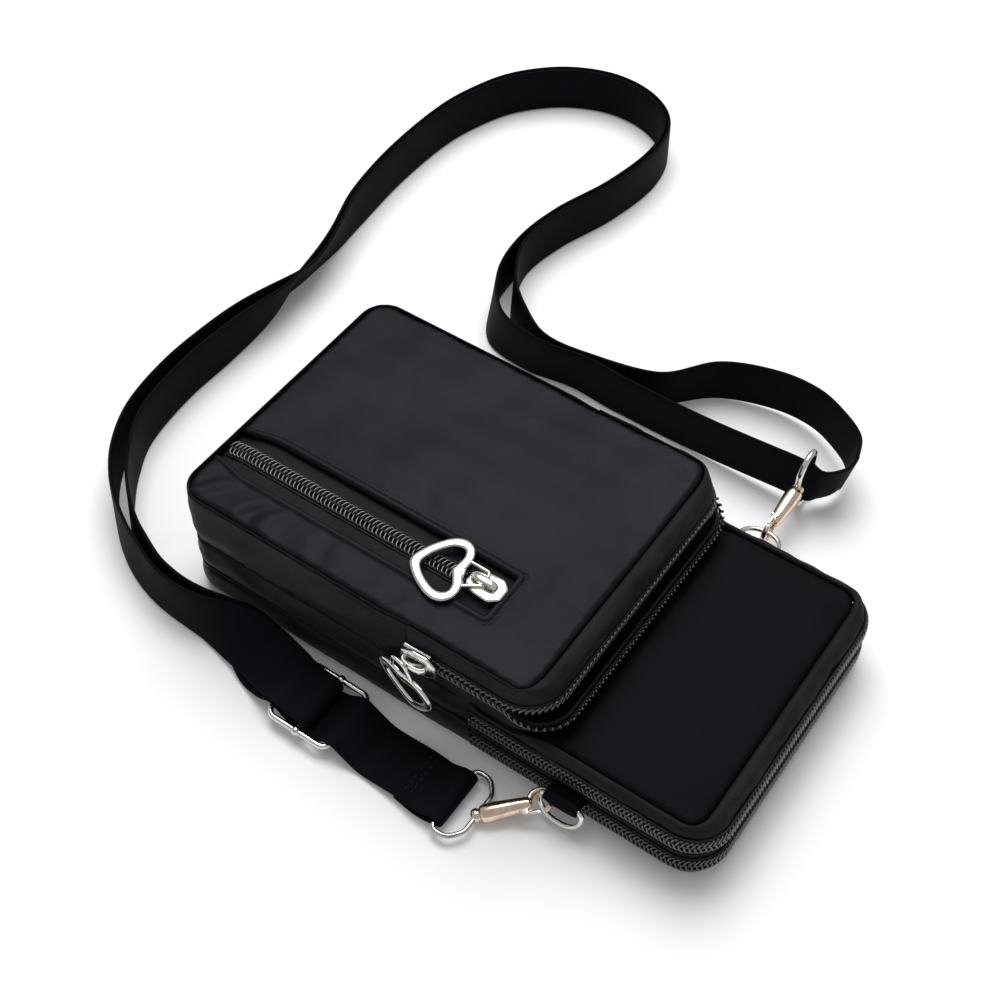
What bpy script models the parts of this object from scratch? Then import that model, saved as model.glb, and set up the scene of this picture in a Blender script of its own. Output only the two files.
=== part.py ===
"""A small zipped phone pouch with a long doubled shoulder strap, lying on its back.

X runs across the pouch, Y along it from the closed bottom end to the mouth, and Z up from the
surface that it lies on. The origin is the middle of the flat back. All sizes are in metres.
"""

import math

import bmesh
import bpy
import numpy as np
from mathutils import Matrix, Vector
from mathutils.geometry import tessellate_polygon

# Start from an empty scene
for leftover in list(bpy.data.objects):
    bpy.data.objects.remove(leftover)

# Pouch: overall sizes. The lower tier is the long one, and the upper tier stands on it.
bag_width = 0.108
lower_length = 0.202
upper_length = 0.1434
back_thickness = 0.0022
divider_height = 0.0142
step_height = 0.0272
bag_height = 0.0493
top_corner = 0.013
bottom_corner = 0.010

# Pouch: cloth, tape and the clearance that touching pieces keep
cloth = 0.0012
tape = 0.0008
gap = 0.0003
weld = 0.000003
panel_thickness = 0.0016
roll_inset = 0.0026
zip_roll_inset = 0.0058
lower_zip_start = 0.117
upper_zip_start = 0.094

# Zips: each coil row is a rail beside a slot that the slider's post runs in
coil_slot = 0.0016
coil_width = 0.0022
coil_height = 0.0014
coil_lift = 0.0003
tape_recess = 0.0004
rear_zip_height = 0.00825
middle_zip_height = 0.01975
front_zip_height = 0.0383
mouth_lean = 0.0030
mouth_drop = 0.0035
mouth_rise = 0.0010

# Pocket in the front panel
pocket_zip_inset = 0.0258
pocket_window = 0.0168
pocket_length = 0.1105
pocket_tape_past = 0.0030
pocket_tape_margin = 0.0022
pocket_depth = 0.0030
lining_inset = 0.0070

# Zip slider
slider_length = 0.010
slider_wall = 0.0011
slider_lip = 0.0008
slider_post = 0.0010
slider_post_length = 0.003
bridge_length = 0.0080
bridge_width = 0.0016
bridge_wall = 0.0012
bridge_crown = 0.0008
bridge_window = 0.0020

# Heart puller and the plain pullers of the two rear zips
puller_thickness = 0.0014
link_thickness = 0.0012
link_hole_length = 0.0042
link_hole_width = 0.0056
heart_width = 0.024
heart_length = 0.0195
heart_start = 0.0030
heart_band = 0.0035
heart_point = 0.0051
plain_puller_length = 0.022
plain_puller_width = 0.0070

# Where the sliders rest, as distances from the ends of their zips, and how the pullers lie
pocket_slider_back = 0.0060
front_slider_past = 0.0050
rear_slider_past = 0.0055
pocket_puller_yaw = 19.0
pocket_puller_drop = 2.2

# Side rings and the webbing tabs that hold them
tab_at = 0.1545
tab_width = 0.012
tab_webbing = 0.0011
ring_wire = 0.0018
ring_width = 0.0150
ring_depth = 0.0094
ring_corner = 0.0018
ring_stand = 0.0049
ring_drop = 0.0016
left_ring_swing = 12.0
right_ring_swing = 80.0

# Snap hooks
hook_reach = 0.0195
barrel_radius = 0.0025
barrel_length = 0.0118
neck_radius = 0.0014
bow_hole = 0.0056
bow_wire = 0.0015
bow_thickness = 0.0020
gate_thickness = 0.0012
pin_radius = 0.0005
pin_head = 0.0006
swivel_bore = 0.0013
swivel_post = 0.0010
swivel_depth = 0.0032
ball_radius = 0.0028

# Strap and what it runs through
strap_width = 0.020
strap_thickness = 0.0014
eye_wire = 0.0022
eye_depth = 0.0099
strap_play = 0.0010
glide_wire = 0.0020
glide_length = 0.024
glide_height = 0.0048
glide_out = 0.0170
glide_at = 0.069
left_eye_out = 0.0195
left_eye_back = 0.0217
left_eye_height = 0.0034

# Derived places
bottom_y = -lower_length / 2
top_y = bottom_y + lower_length
upper_y = bottom_y + upper_length
half_width = bag_width / 2
lower_split = bottom_y + lower_zip_start
upper_split = bottom_y + upper_zip_start
divider_under = divider_height - tape
step_under = step_height - panel_thickness
panel_under = bag_height - panel_thickness
coil_inner = coil_slot / 2
coil_outer = coil_inner + coil_width
coil_back = coil_lift - tape_recess
coil_front = coil_back + coil_height
plate_low = coil_front + gap
plate_high = plate_low + slider_wall
bridge_axis = plate_high + bridge_window / 2
link_back = link_thickness / 2
pocket_zip_x = half_width - pocket_zip_inset
tab_y = bottom_y + tab_at
ring_out = half_width + ring_stand
ring_height = divider_height - ring_drop
glide_x = half_width + glide_out
tape_face = half_width - tape_recess

steel = ("steel", (0.80, 0.79, 0.76), 0.22, 1.0)
nylon = ("nylon_cloth", (0.016, 0.016, 0.018), 0.80, 0.0)
webbing = ("webbing", (0.020, 0.020, 0.024), 0.85, 0.0)
zip_cloth = ("zip_tape", (0.018, 0.018, 0.020), 0.85, 0.0)
coil_nylon = ("zip_coil", (0.028, 0.028, 0.032), 0.45, 0.0)


def material(look):
    """The Principled material of a look, made once and then shared."""
    name, colour, roughness, metallic = look
    found = bpy.data.materials.get(name)
    if found:
        return found
    made = bpy.data.materials.new(name)
    made.use_nodes = True
    shader = made.node_tree.nodes["Principled BSDF"]
    shader.inputs["Base Color"].default_value = (*colour, 1.0)
    shader.inputs["Roughness"].default_value = roughness
    shader.inputs["Metallic"].default_value = metallic
    made.diffuse_color = (*colour, 1.0)
    return made


def mesh_from(name, shape):
    """A mesh with every face turned outward, smooth but for its sharp edges."""
    vertices, faces = shape
    mesh = bpy.data.meshes.new(name)
    work = bmesh.new()
    corners = [work.verts.new(vertex) for vertex in vertices]
    for face in faces:
        work.faces.new([corners[index] for index in face])
    bmesh.ops.remove_doubles(work, verts=work.verts, dist=1e-7)
    bmesh.ops.recalc_face_normals(work, faces=work.faces)
    work.to_mesh(mesh)
    work.free()
    mesh.shade_smooth()
    mesh.set_sharp_from_angle(angle=math.radians(35))
    return mesh


def place(name, mesh, look, where=Matrix()):
    """An object that shows a mesh at a place, in its own material."""
    made = bpy.data.objects.new(name, mesh)
    bpy.context.scene.collection.objects.link(made)
    if not mesh.materials:
        mesh.materials.append(material(look))
    made.matrix_world = where
    return made


def piece(name, shape, look, where=Matrix()):
    """An object made from a shape, which is a pair of vertices and faces."""
    return place(name, mesh_from(name, shape), look, where)


def combined(name, steps):
    """One mesh from closed shapes that are joined, or cut away, one after the other."""
    helpers = [place(f"{name}_{index}", mesh_from(name, shape), steel)
               for index, (_, shape) in enumerate(steps)]
    base = helpers[0]
    for helper, (operation, _) in zip(helpers[1:], steps[1:]):
        change = base.modifiers.new(helper.name, "BOOLEAN")
        change.operation = operation
        change.object = helper
    bpy.context.view_layer.update()
    graph = bpy.context.evaluated_depsgraph_get()
    mesh = bpy.data.meshes.new_from_object(base.evaluated_get(graph))
    mesh.name = name
    for helper in helpers:
        bpy.data.objects.remove(helper)
    work = bmesh.new()
    work.from_mesh(mesh)
    bmesh.ops.remove_doubles(work, verts=work.verts, dist=weld)
    bmesh.ops.dissolve_degenerate(work, edges=work.edges, dist=weld)
    work.to_mesh(mesh)
    work.free()
    mesh.shade_smooth()
    mesh.set_sharp_from_angle(angle=math.radians(35))
    return mesh


def fused(name, shapes):
    """One mesh from several closed shapes that run into each other."""
    return combined(name, [("UNION", shape) for shape in shapes])


def arc(centre, radius, start, end, steps=5):
    """Points of an arc and their outward directions, with the angles in degrees."""
    angles = np.radians(np.linspace(start, end, steps + 1))
    outward = np.stack([np.cos(angles), np.sin(angles)], axis=1)
    return np.array(centre) + radius * outward, outward


def end_path(y_start, y_end, radius):
    """A U round one end of the pouch, anticlockwise, with its outward directions."""
    side = 1 if y_end > y_start else -1
    inner = half_width - radius
    first = arc((side * inner, y_end - side * radius), radius, 90 - side * 90, 180 - side * 90)
    second = arc((-side * inner, y_end - side * radius), radius, 180 - side * 90, 270 - side * 90)
    points = np.vstack([(side * half_width, y_start), first[0], second[0],
                        (-side * half_width, y_start)])
    outward = np.vstack([(side, 0), first[1], second[1], (-side, 0)])
    return points, outward


def sweep(path, sections):
    """A section of (outward, up) points carried along an open path and closed at both ends.

    The section may be one for the whole path, or one for each point of it.
    """
    points, outward = path
    sections = np.asarray(sections, float)
    count = sections.shape[-2]
    sections = np.broadcast_to(sections, (len(points), count, 2))
    flat = points[:, None] + outward[:, None] * sections[..., :1]
    vertices = np.concatenate([flat, sections[..., 1:]], axis=2).reshape(-1, 3)
    return vertices, stitched(len(points), count)


def stitched(stations, count, closed=False):
    """Faces between the stations of a tube whose section has count points."""
    faces = []
    for here in range(stations if closed else stations - 1):
        there = (here + 1) % stations
        for k in range(count):
            after = (k + 1) % count
            faces.append((here * count + k, here * count + after,
                          there * count + after, there * count + k))
    if not closed:
        faces.append(tuple(range(count)))
        faces.append(tuple((stations - 1) * count + k for k in reversed(range(count))))
    return faces


def slab(outlines, low, high):
    """A flat plate between two heights, with the first outline less the other ones."""
    rings = [[Vector((x, y, 0.0)) for x, y in ring] for ring in outlines]
    flat = [point for ring in rings for point in ring]
    total = len(flat)
    caps = tessellate_polygon(rings)
    faces = [tuple(cap) for cap in caps]
    faces += [tuple(index + total for index in reversed(cap)) for cap in caps]
    start = 0
    for ring in rings:
        for k in range(len(ring)):
            here = start + k
            after = start + (k + 1) % len(ring)
            faces.append((here, after, after + total, here + total))
        start += len(ring)
    vertices = [(p.x, p.y, low) for p in flat] + [(p.x, p.y, high) for p in flat]
    return vertices, faces


def box(low, high):
    """A box between two opposite corners."""
    outline = [(low[0], low[1]), (high[0], low[1]), (high[0], high[1]), (low[0], high[1])]
    return slab([outline], low[2], high[2])


def unit(vector):
    return vector / np.linalg.norm(vector)


def rounded(corners, radii, steps=3):
    """An outline whose corners are arcs that touch both of their sides."""
    outline = []
    for index, (corner, radius) in enumerate(zip(corners, radii)):
        here = np.array(corner, float)
        to_before = unit(np.array(corners[index - 1]) - here)
        to_after = unit(np.array(corners[(index + 1) % len(corners)]) - here)
        half = math.acos(float(np.clip(to_before @ to_after, -1, 1))) / 2
        centre = here + unit(to_before + to_after) * radius / math.sin(half)
        start = here + to_before * radius / math.tan(half) - centre
        end = here + to_after * radius / math.tan(half) - centre
        turn = math.atan2(start[0] * end[1] - start[1] * end[0], float(start @ end))
        for share in np.linspace(0, 1, steps + 1):
            cos, sin = math.cos(turn * share), math.sin(turn * share)
            outline.append(centre + (start[0] * cos - start[1] * sin,
                                     start[0] * sin + start[1] * cos))
    return [tuple(point) for point in outline]


def lathe(profile, steps=10):
    """A closed profile of (along, radius) points turned round the X axis."""
    angles = [2 * math.pi * k / steps for k in range(steps)]
    vertices = [(x, r * math.cos(a), r * math.sin(a)) for a in angles for x, r in profile]
    return vertices, stitched(steps, len(profile), closed=True)


def tube(points, radius, sides=8, closed=False):
    """A round wire along flat or bent points, its section carried along without twist."""
    points = [Vector(point) for point in points]
    count = len(points)
    vertices = []
    side = None
    for index, point in enumerate(points):
        before = points[index - 1] if closed or index else point
        after = points[(index + 1) % count] if closed or index + 1 < count else point
        along = (after - before).normalized()
        guess = side or along.orthogonal()
        side = (guess - along * guess.dot(along)).normalized()
        other = along.cross(side)
        for k in range(sides):
            angle = 2 * math.pi * k / sides
            vertices.append(point + radius * (side * math.cos(angle) + other * math.sin(angle)))
    return vertices, stitched(count, sides, closed)


def smooth_route(points, steps):
    """A Catmull-Rom curve through the points, with the given steps between each two."""
    route = np.array(points, float)
    padded = np.vstack([2 * route[0] - route[1], route, 2 * route[-1] - route[-2]])
    share = np.arange(steps)[:, None] / steps
    curve = []
    for a, b, c, d in zip(padded, padded[1:], padded[2:], padded[3:]):
        curve.append(b + share * (c - a) / 2
                     + share ** 2 * (a - 2.5 * b + 2 * c - d / 2)
                     + share ** 3 * (1.5 * b - a / 2 - 1.5 * c + d / 2))
    return np.vstack([*curve, route[-1:]])


def ribbon(route):
    """Webbing along rows of (x, y, z, roll): roll 0 lies flat, and roll 90 stands on its edge."""
    places = route[:, :3]
    roll = np.radians(route[:, 3:])
    along = np.gradient(places, axis=0)
    along /= np.linalg.norm(along, axis=1, keepdims=True)
    across = np.hstack([np.cos(roll), 0 * roll, np.sin(roll)])
    across -= along * np.sum(across * along, axis=1, keepdims=True)
    across /= np.linalg.norm(across, axis=1, keepdims=True)
    out = np.cross(along, across)
    wide = across * strap_width / 2
    thick = out * strap_thickness / 2
    corners = np.stack([wide + thick, thick - wide, -wide - thick, wide - thick], axis=1)
    vertices = (places[:, None] + corners).reshape(-1, 3)
    return vertices, stitched(len(route), 4)


def frame_at(origin, forward, up):
    """The matrix whose X axis is forward and whose Z axis is as near to up as can be."""
    forward = Vector(forward).normalized()
    side = Vector(up).cross(forward).normalized()
    top = forward.cross(side)
    turned = Matrix((forward, side, top)).transposed().to_4x4()
    return Matrix.Translation(Vector(origin)) @ turned


# Pouch body
def outline_of(low_path, low_inset, high_path, high_inset):
    """The outline of a panel, drawn in from the wall by its own amount at each end."""
    low = low_path[0] - low_path[1] * low_inset
    high = high_path[0] - high_path[1] * high_inset
    outline = [tuple(point) for point in np.vstack([low, high])]
    kept = [point for index, point in enumerate(outline)
            if math.dist(point, outline[index - 1]) > 1e-6]
    return kept


def wall(low, high):
    """The section of a plain cloth wall between two heights."""
    return [(-cloth, low), (0, low), (0, high), (-cloth, high)]


def rolled_wall(low, high):
    """The section of a wall whose top rolls inward to the turned seam of a panel."""
    return [(-cloth, low), (0, low), (0, high - 0.0030), (-0.0008, high - 0.0009),
            (-roll_inset, high), (-roll_inset, high - cloth), (-cloth - 0.0005, high - 0.0019),
            (-cloth, high - 0.0032)]


lower_bottom = end_path(lower_split - gap / 2, bottom_y, bottom_corner)
lower_top = end_path(lower_split + gap / 2, top_y, top_corner)
upper_bottom = end_path(upper_split - gap / 2, bottom_y, bottom_corner)
upper_top = end_path(upper_split + gap / 2, upper_y, top_corner)


def pouch_body():
    back = outline_of(lower_bottom, cloth, lower_top, cloth)
    piece("back_panel", slab([back], 0.0, back_thickness), nylon)
    rear_low = back_thickness + gap
    rear_high = divider_under - gap
    piece("rear_gusset", sweep(lower_bottom, wall(rear_low, rear_high)), nylon)
    divider = outline_of(lower_bottom, tape_recess, lower_top, tape_recess)
    piece("rear_divider", slab([divider], divider_under, divider_height), nylon)
    middle_low = divider_height + gap
    piece("middle_gusset", sweep(lower_bottom, wall(middle_low, step_height)), nylon)
    floor = outline_of(lower_bottom, cloth + gap, lower_top, zip_roll_inset + gap)
    piece("step_panel", slab([floor], step_under, step_height), nylon)
    front_low = step_height + gap
    piece("front_gusset", sweep(upper_bottom, rolled_wall(front_low, bag_height)), nylon)


def front_panel():
    """The top panel, notched from its bottom edge where the pocket zip lies."""
    seam = roll_inset + gap
    low = upper_bottom[0] - upper_bottom[1] * seam
    high = upper_top[0] - upper_top[1] * (zip_roll_inset + gap)
    left = pocket_zip_x - pocket_window / 2
    right = pocket_zip_x + pocket_window / 2
    window_top = bottom_y + pocket_length
    bottom_edge = bottom_y + seam
    notch = [(left, bottom_edge), (left, window_top), (right, window_top), (right, bottom_edge)]
    half = len(low) // 2
    outline = [tuple(p) for p in low[:half]] + notch + [tuple(p) for p in low[half:]]
    outline += [tuple(p) for p in high]
    piece("front_panel", slab([outline], panel_under, bag_height), nylon)


def pocket_lining():
    """A shallow tray under the pocket's tapes: its rim meets them and its floor hangs clear."""
    rim = outline_of(upper_bottom, lining_inset, upper_top, lining_inset)
    inner = outline_of(upper_bottom, lining_inset + tape, upper_top, lining_inset + tape)
    rim_top = panel_under - gap - tape - gap
    floor_top = rim_top - pocket_depth
    low = floor_top - tape
    vertices, faces = slab([rim], low, rim_top)
    count = len(rim)
    faces = faces[:count - 2] + faces[2 * (count - 2):]
    well_low = [(x, y, floor_top) for x, y in inner]
    well_high = [(x, y, rim_top) for x, y in inner]
    start = len(vertices)
    faces.append(tuple(range(start, start + count)))
    for k in range(count):
        after = (k + 1) % count
        faces.append((start + k, start + after, start + count + after, start + count + k))
        faces.append((count + k, count + after, start + count + after, start + count + k))
    piece("pocket_lining", (vertices + well_low + well_high, faces), nylon)


# Zips
def tape_wall(low, high):
    """The section of a zip tape, set back a little from the wall."""
    outer = -tape_recess
    return [(outer - tape, low), (outer, low), (outer, high), (outer - tape, high)]


def coil_rail(low):
    """The section of one coil row, which stands proud of its tape."""
    high = low + coil_width
    return [(coil_back, low), (coil_front, low), (coil_front, high), (coil_back, high)]


def over_the_edge(low, high, curl):
    """A tape that rises straight and then curls over to a seam on the panel above."""
    outer = -tape_recess
    line = [(outer, low), (outer, high - 0.0034), (outer - 0.0008, high - 0.0013),
            (outer - 0.0026, high - 0.0002), (-zip_roll_inset, high)]
    straight = [(outer, low), (outer, high - 0.0034), (outer, high - 0.0020),
                (outer, high - 0.0010), (outer, high)]
    inside = [(outer - tape, low), (outer - tape, high - 0.0036),
              (outer - tape - 0.0006, high - 0.0019), (outer - 0.0028, high - 0.0010),
              (-zip_roll_inset, high - tape)]
    inside_straight = [(outer - tape, z) for _, z in straight]
    curled = np.array(line + inside[::-1])
    plain = np.array(straight + inside_straight[::-1])
    return plain + (curled - plain) * np.asarray(curl)[:, None, None]


def closed_zip(prefix, centre, low, high, curl):
    """The tapes and the coil rows of a closed zip round the top end of the lower tier."""
    piece(f"{prefix}_lower_tape", sweep(lower_top, tape_wall(low, centre - coil_inner)), zip_cloth)
    piece(f"{prefix}_lower_coil", sweep(lower_top, coil_rail(centre - coil_outer)), coil_nylon)
    upper = over_the_edge(centre + coil_inner, high, curl)
    piece(f"{prefix}_upper_tape", sweep(lower_top, upper), zip_cloth)
    piece(f"{prefix}_upper_coil", sweep(lower_top, coil_rail(centre + coil_inner)), coil_nylon)


def beyond_upper_tier(path):
    """1 where the lower tier reaches past the upper tier, 0 beside it."""
    return (path[0][:, 1] > upper_y).astype(float)


def front_zip():
    """The open zip of the mouth: its lower band leans out and its upper row lifts at the end."""
    facing = np.clip(upper_top[1][:, 1], 0, 1)[:, None]
    centre = front_zip_height
    low = step_height + gap

    def sagging(section):
        section = np.repeat(np.array(section)[None], len(facing), axis=0)
        height = np.clip((section[..., 1] - low) / (centre - coil_outer - low), 0, 1)
        section[..., 0] += mouth_lean * facing * height
        section[..., 1] -= mouth_drop * facing * height
        return section

    def lifted(section):
        section = np.array(section) + np.zeros((len(facing), 1, 1))
        reach = np.clip((bag_height - 0.0034 - section[..., 1]) / 0.002, 0, 1)
        section[..., 1] += mouth_rise * facing * reach
        return section

    lower_band = tape_wall(low, centre - coil_inner)
    lower_band = [lower_band[0], lower_band[1], (-tape_recess, centre - coil_outer),
                  lower_band[2], lower_band[3], (-tape_recess - tape, centre - coil_outer)]
    piece("front_zip_lower_tape", sweep(upper_top, sagging(lower_band)), zip_cloth)
    piece("front_zip_lower_coil", sweep(upper_top, sagging(coil_rail(centre - coil_outer))), coil_nylon)
    curl = np.ones(len(upper_top[0]))
    upper = over_the_edge(centre + coil_inner, bag_height - 0.0002, curl)
    piece("front_zip_upper_tape", sweep(upper_top, lifted(upper)), zip_cloth)
    piece("front_zip_upper_coil", sweep(upper_top, lifted(coil_rail(centre + coil_inner))), coil_nylon)


def pocket_zip():
    """The straight zip of the pocket, with its tapes under the panel and its coils in the window."""
    tape_top = panel_under - gap
    start = bottom_y + roll_inset + gap
    coil_end = bottom_y + pocket_length - gap
    tape_end = bottom_y + pocket_length + pocket_tape_past
    edge = pocket_window / 2 + pocket_tape_margin
    for side, name in ((-1, "inner"), (1, "outer")):
        near = pocket_zip_x + side * coil_inner
        far = pocket_zip_x + side * edge
        shape = box((min(near, far), start, tape_top - tape), (max(near, far), tape_end, tape_top))
        piece(f"pocket_zip_{name}_tape", shape, zip_cloth)
        far = pocket_zip_x + side * coil_outer
        low = tape_top + coil_lift
        shape = box((min(near, far), start, low), (max(near, far), coil_end, low + coil_height))
        piece(f"pocket_zip_{name}_coil", shape, coil_nylon)


def slider_mesh():
    """A zip slider: X is its travel, Z points away from the tape and 0 is the wall's face."""
    half = slider_length / 2
    lip_out = coil_outer + gap + slider_lip
    lip_low = gap - tape_recess
    plate = box((-half, -lip_out, plate_low), (half, lip_out, plate_high))
    overlap = slider_wall / 2
    lip = coil_outer + gap
    edge = lip_out - 0.0001
    lips = [box((-half + 0.0002, low, lip_low), (half - 0.0002, high, plate_low + overlap))
            for low, high in ((-edge, -lip), (lip, edge))]
    tape_inner = -tape_recess - tape
    under_top = tape_inner - gap
    under = box((-half + 0.0005, -coil_outer, under_top - slider_wall),
                (half - 0.0005, coil_outer, under_top))
    post = box((0.001, -slider_post / 2, under_top - overlap),
               (0.001 + slider_post_length, slider_post / 2, plate_low + overlap))
    reach = bridge_length / 2
    window = reach - bridge_wall
    rise = plate_high + bridge_window
    foot = plate_high - overlap / 2
    arch = [(-reach, foot), (-window, foot), (-window, rise), (window, rise), (window, foot),
            (reach, foot), (reach, plate_high), (reach - 0.0008, rise + bridge_crown),
            (-reach + 0.0008, rise + bridge_crown), (-reach, plate_high)]
    flat, faces = slab([arch], -bridge_width / 2, bridge_width / 2)
    bridge = [(x, -z, y) for x, y, z in flat], faces
    return fused("slider", [plate, *lips, under, post, bridge])


def heart_outline(width, length, start, points=28):
    """The heart x = 13 cos t - 5 cos 2t - 2 cos 3t - cos 4t, y = 16 sin^3 t, scaled to size."""
    t = np.linspace(0, 2 * math.pi, points, endpoint=False)
    tall = 13 * np.cos(t) - 5 * np.cos(2 * t) - 2 * np.cos(3 * t) - np.cos(4 * t)
    wide = np.sin(t) ** 3
    top, low = tall.max(), tall.min()
    x = start + length * (top - tall) / (top - low)
    return list(zip(x, wide * width / 2))


def link_outline(start, end, near, far, radius):
    """The trapezoid loop that a puller hangs by."""
    corners = [(start, -near), (end, -far), (end, far), (start, near)]
    return rounded(corners, [radius] * 4, 2)


def heart_puller_mesh():
    """A puller with X to its point and Y its pin: a heart frame and the link in its notch."""
    outer = heart_outline(heart_width, heart_length, heart_start)
    inner_length = heart_length - heart_band - heart_point
    inner = heart_outline(heart_width - 2 * heart_band, inner_length, heart_start + heart_band + 0.0009)
    half = puller_thickness / 2
    frame = slab([outer, inner], -half, half)
    hole_end = link_back + link_hole_length
    near = link_hole_width / 2
    hole = link_outline(link_back, hole_end, near, near - 0.0004, 0.0005)
    rim = link_outline(-link_back, hole_end + 0.0030, near + 0.0012, near + 0.0004, 0.0010)
    block = slab([link_outline(-0.002, hole_end, near, near - 0.0004, 0.0005)], -half * 2, half * 2)
    link = slab([rim, hole], -link_back, link_back)
    return combined("heart_puller", [("UNION", frame), ("DIFFERENCE", block), ("UNION", link)])


def plain_puller_mesh():
    """A plain flat puller with X to its end and Y its pin."""
    half = plain_puller_width / 2
    near = link_hole_width / 2
    far = plain_puller_length
    corners = [(-link_back, -near - 0.0012), (far, -half), (far, half), (-link_back, near + 0.0012)]
    outer = rounded(corners, [0.001, 0.003, 0.003, 0.001], 3)
    hole = link_outline(link_back, link_back + link_hole_length, near, near - 0.0006, 0.0005)
    return mesh_from("plain_puller", slab([outer, hole], -link_back, link_back))


def slider_frames():
    """Each slider's place: X along its travel and Z away from the tape."""
    along = (0, 1, 0)
    pocket = (pocket_zip_x, bottom_y + pocket_length - pocket_slider_back, panel_under - gap + tape_recess)
    front = (half_width, upper_split + front_slider_past, front_zip_height)
    middle = (-half_width, lower_split + rear_slider_past, middle_zip_height)
    rear = (-half_width, lower_split + rear_slider_past, rear_zip_height)
    return {"pocket": frame_at(pocket, (0, -1, 0), (0, 0, 1)),
            "front": frame_at(front, along, (1, 0, 0)),
            "middle": frame_at(middle, along, (-1, 0, 0)),
            "rear": frame_at(rear, along, (-1, 0, 0))}


def sliders_and_pullers():
    slider = slider_mesh()
    heart = heart_puller_mesh()
    plain = plain_puller_mesh()
    frames = slider_frames()
    for name, where in frames.items():
        place(f"{name}_slider", slider, steel, where)
    pin = Matrix.Translation((0, 0, bridge_axis))
    drop = Matrix.Rotation(math.radians(pocket_puller_drop), 4, "Y")
    yaw = Matrix.Rotation(math.radians(pocket_puller_yaw), 4, "Z")
    place("pocket_puller", heart, steel, frames["pocket"] @ pin @ yaw @ drop)
    leg = Matrix.Translation((-bridge_length / 2 + bridge_wall / 2, 0, bridge_axis))
    hang = Matrix.Rotation(math.radians(-90), 4, "Z")
    hold = Matrix.Translation((-link_back - bridge_width / 2 - gap, 0, 0))
    place("front_puller", heart, steel, frames["front"] @ leg @ hang @ hold)
    back = Matrix.Rotation(math.radians(180), 4, "Z")
    for name in ("middle", "rear"):
        place(f"{name}_puller", plain, steel, frames[name] @ pin @ back)


# Side rings and tabs
def tab_mesh():
    """A webbing tab: X points out from the wall, and the ring's bar lies along Y in its loop."""
    hole = ring_wire / 2 + gap
    outer = hole + tab_webbing
    root = ring_out - tape_face - gap
    angles = np.radians(np.linspace(-150, 150, 13))
    loop = [(outer * math.cos(a), outer * math.sin(a)) for a in angles]
    outline = [(-root, -tab_webbing), *loop, (-root, tab_webbing)]
    ring = [(hole * math.cos(a), hole * math.sin(a))
            for a in np.radians(np.arange(0, 360, 36))]
    flat, faces = slab([outline, ring], -tab_width / 2, tab_width / 2)
    return mesh_from("tab", ([(x, -z, y) for x, y, z in flat], faces))


def ring_mesh():
    """A D-ring: its bar lies along Y through the origin, and it hangs down from there."""
    half = ring_width / 2
    deep = ring_depth
    corners = [(-half, 0), (half, 0), (half, deep * 0.58), (half * 0.46, deep),
               (-half * 0.46, deep), (-half, deep * 0.58)]
    radii = [ring_corner, ring_corner, 0.0032, 0.0032, 0.0032, 0.0032]
    outline = rounded(corners, radii, 3)
    return mesh_from("ring", tube([(0, y, -z) for y, z in outline], ring_wire / 2, 8, True))


def sides_hardware():
    tab = tab_mesh()
    ring = ring_mesh()
    right_side = Matrix.Translation((ring_out, tab_y, ring_height))
    left_side = Matrix.Translation((-ring_out, tab_y, ring_height))
    turned = Matrix.Rotation(math.pi, 4, "Z")
    place("left_tab", tab, webbing, right_side)
    place("right_tab", tab, webbing, left_side @ turned)
    outward = Matrix.Rotation(math.radians(-left_ring_swing), 4, "Y")
    place("left_ring", ring, steel, right_side @ outward)
    outward = Matrix.Rotation(math.radians(-right_ring_swing), 4, "Y")
    place("right_ring", ring, steel, left_side @ turned @ outward)


# Snap hooks and eyes
def hook_mesh():
    """A hook body: X from its swivel to the middle of its bow, Z square to the bow."""
    inner = bow_hole / 2
    outer = inner + bow_wire
    neck_end = hook_reach - inner - bow_wire / 2
    barrel = lathe([(ball_radius + gap, swivel_bore), (ball_radius + gap, barrel_radius - 0.0004),
                    (ball_radius + gap + 0.0005, barrel_radius), (barrel_length, barrel_radius),
                    (barrel_length + 0.0018, neck_radius), (neck_end, neck_radius),
                    (neck_end, 0.0), (ball_radius + swivel_depth + gap, 0.0),
                    (ball_radius + swivel_depth + gap, swivel_bore)])
    start, end = 75, -170
    around = np.radians(np.linspace(start, end, 13))
    outline = [(outer * math.cos(a) + hook_reach, outer * math.sin(a)) for a in around]
    outline += [(inner * math.cos(a) + hook_reach, inner * math.sin(a)) for a in around[::-1]]
    half = bow_thickness / 2
    bow = slab([outline], -half, half)
    ear_x, ear_y = gate_pivot()
    ear = slab([rounded([(ear_x - 0.0035, neck_radius / 2), (ear_x + 0.0009, neck_radius / 2),
                         (ear_x + 0.0009, ear_y + 0.0009), (ear_x - 0.0009, ear_y + 0.0009)],
                        [0.0002, 0.0002, 0.0007, 0.0007], 2)], -half * 0.9, -half * 0.25)
    return fused("hook", [barrel, bow, ear])


def gate_pivot():
    """Where the gate's pin stands beside the neck, in the hook's frame."""
    return hook_reach - bow_hole / 2 - bow_wire - 0.0004, neck_radius + 0.0013


def gate_mesh():
    """The sprung gate: its pin is at the origin, and it reaches along X to the bow's end."""
    ear_x, ear_y = gate_pivot()
    middle = bow_hole / 2 + bow_wire / 2
    end = np.radians(75)
    tip = np.array((hook_reach + middle * math.cos(end), middle * math.sin(end))) - (ear_x, ear_y)
    reach = float(np.hypot(*tip)) - bow_wire * 0.55 - gap
    half = gate_thickness / 2
    outline = rounded([(-0.0008, -half), (reach, -half), (reach, half), (-0.0008, half)],
                      [0.0004, 0.0002, 0.0002, 0.0004], 2)
    lift = -bow_thickness / 2 * 0.25 + gap
    return slab([outline], lift, bow_thickness / 2), math.atan2(tip[1], tip[0])


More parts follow.
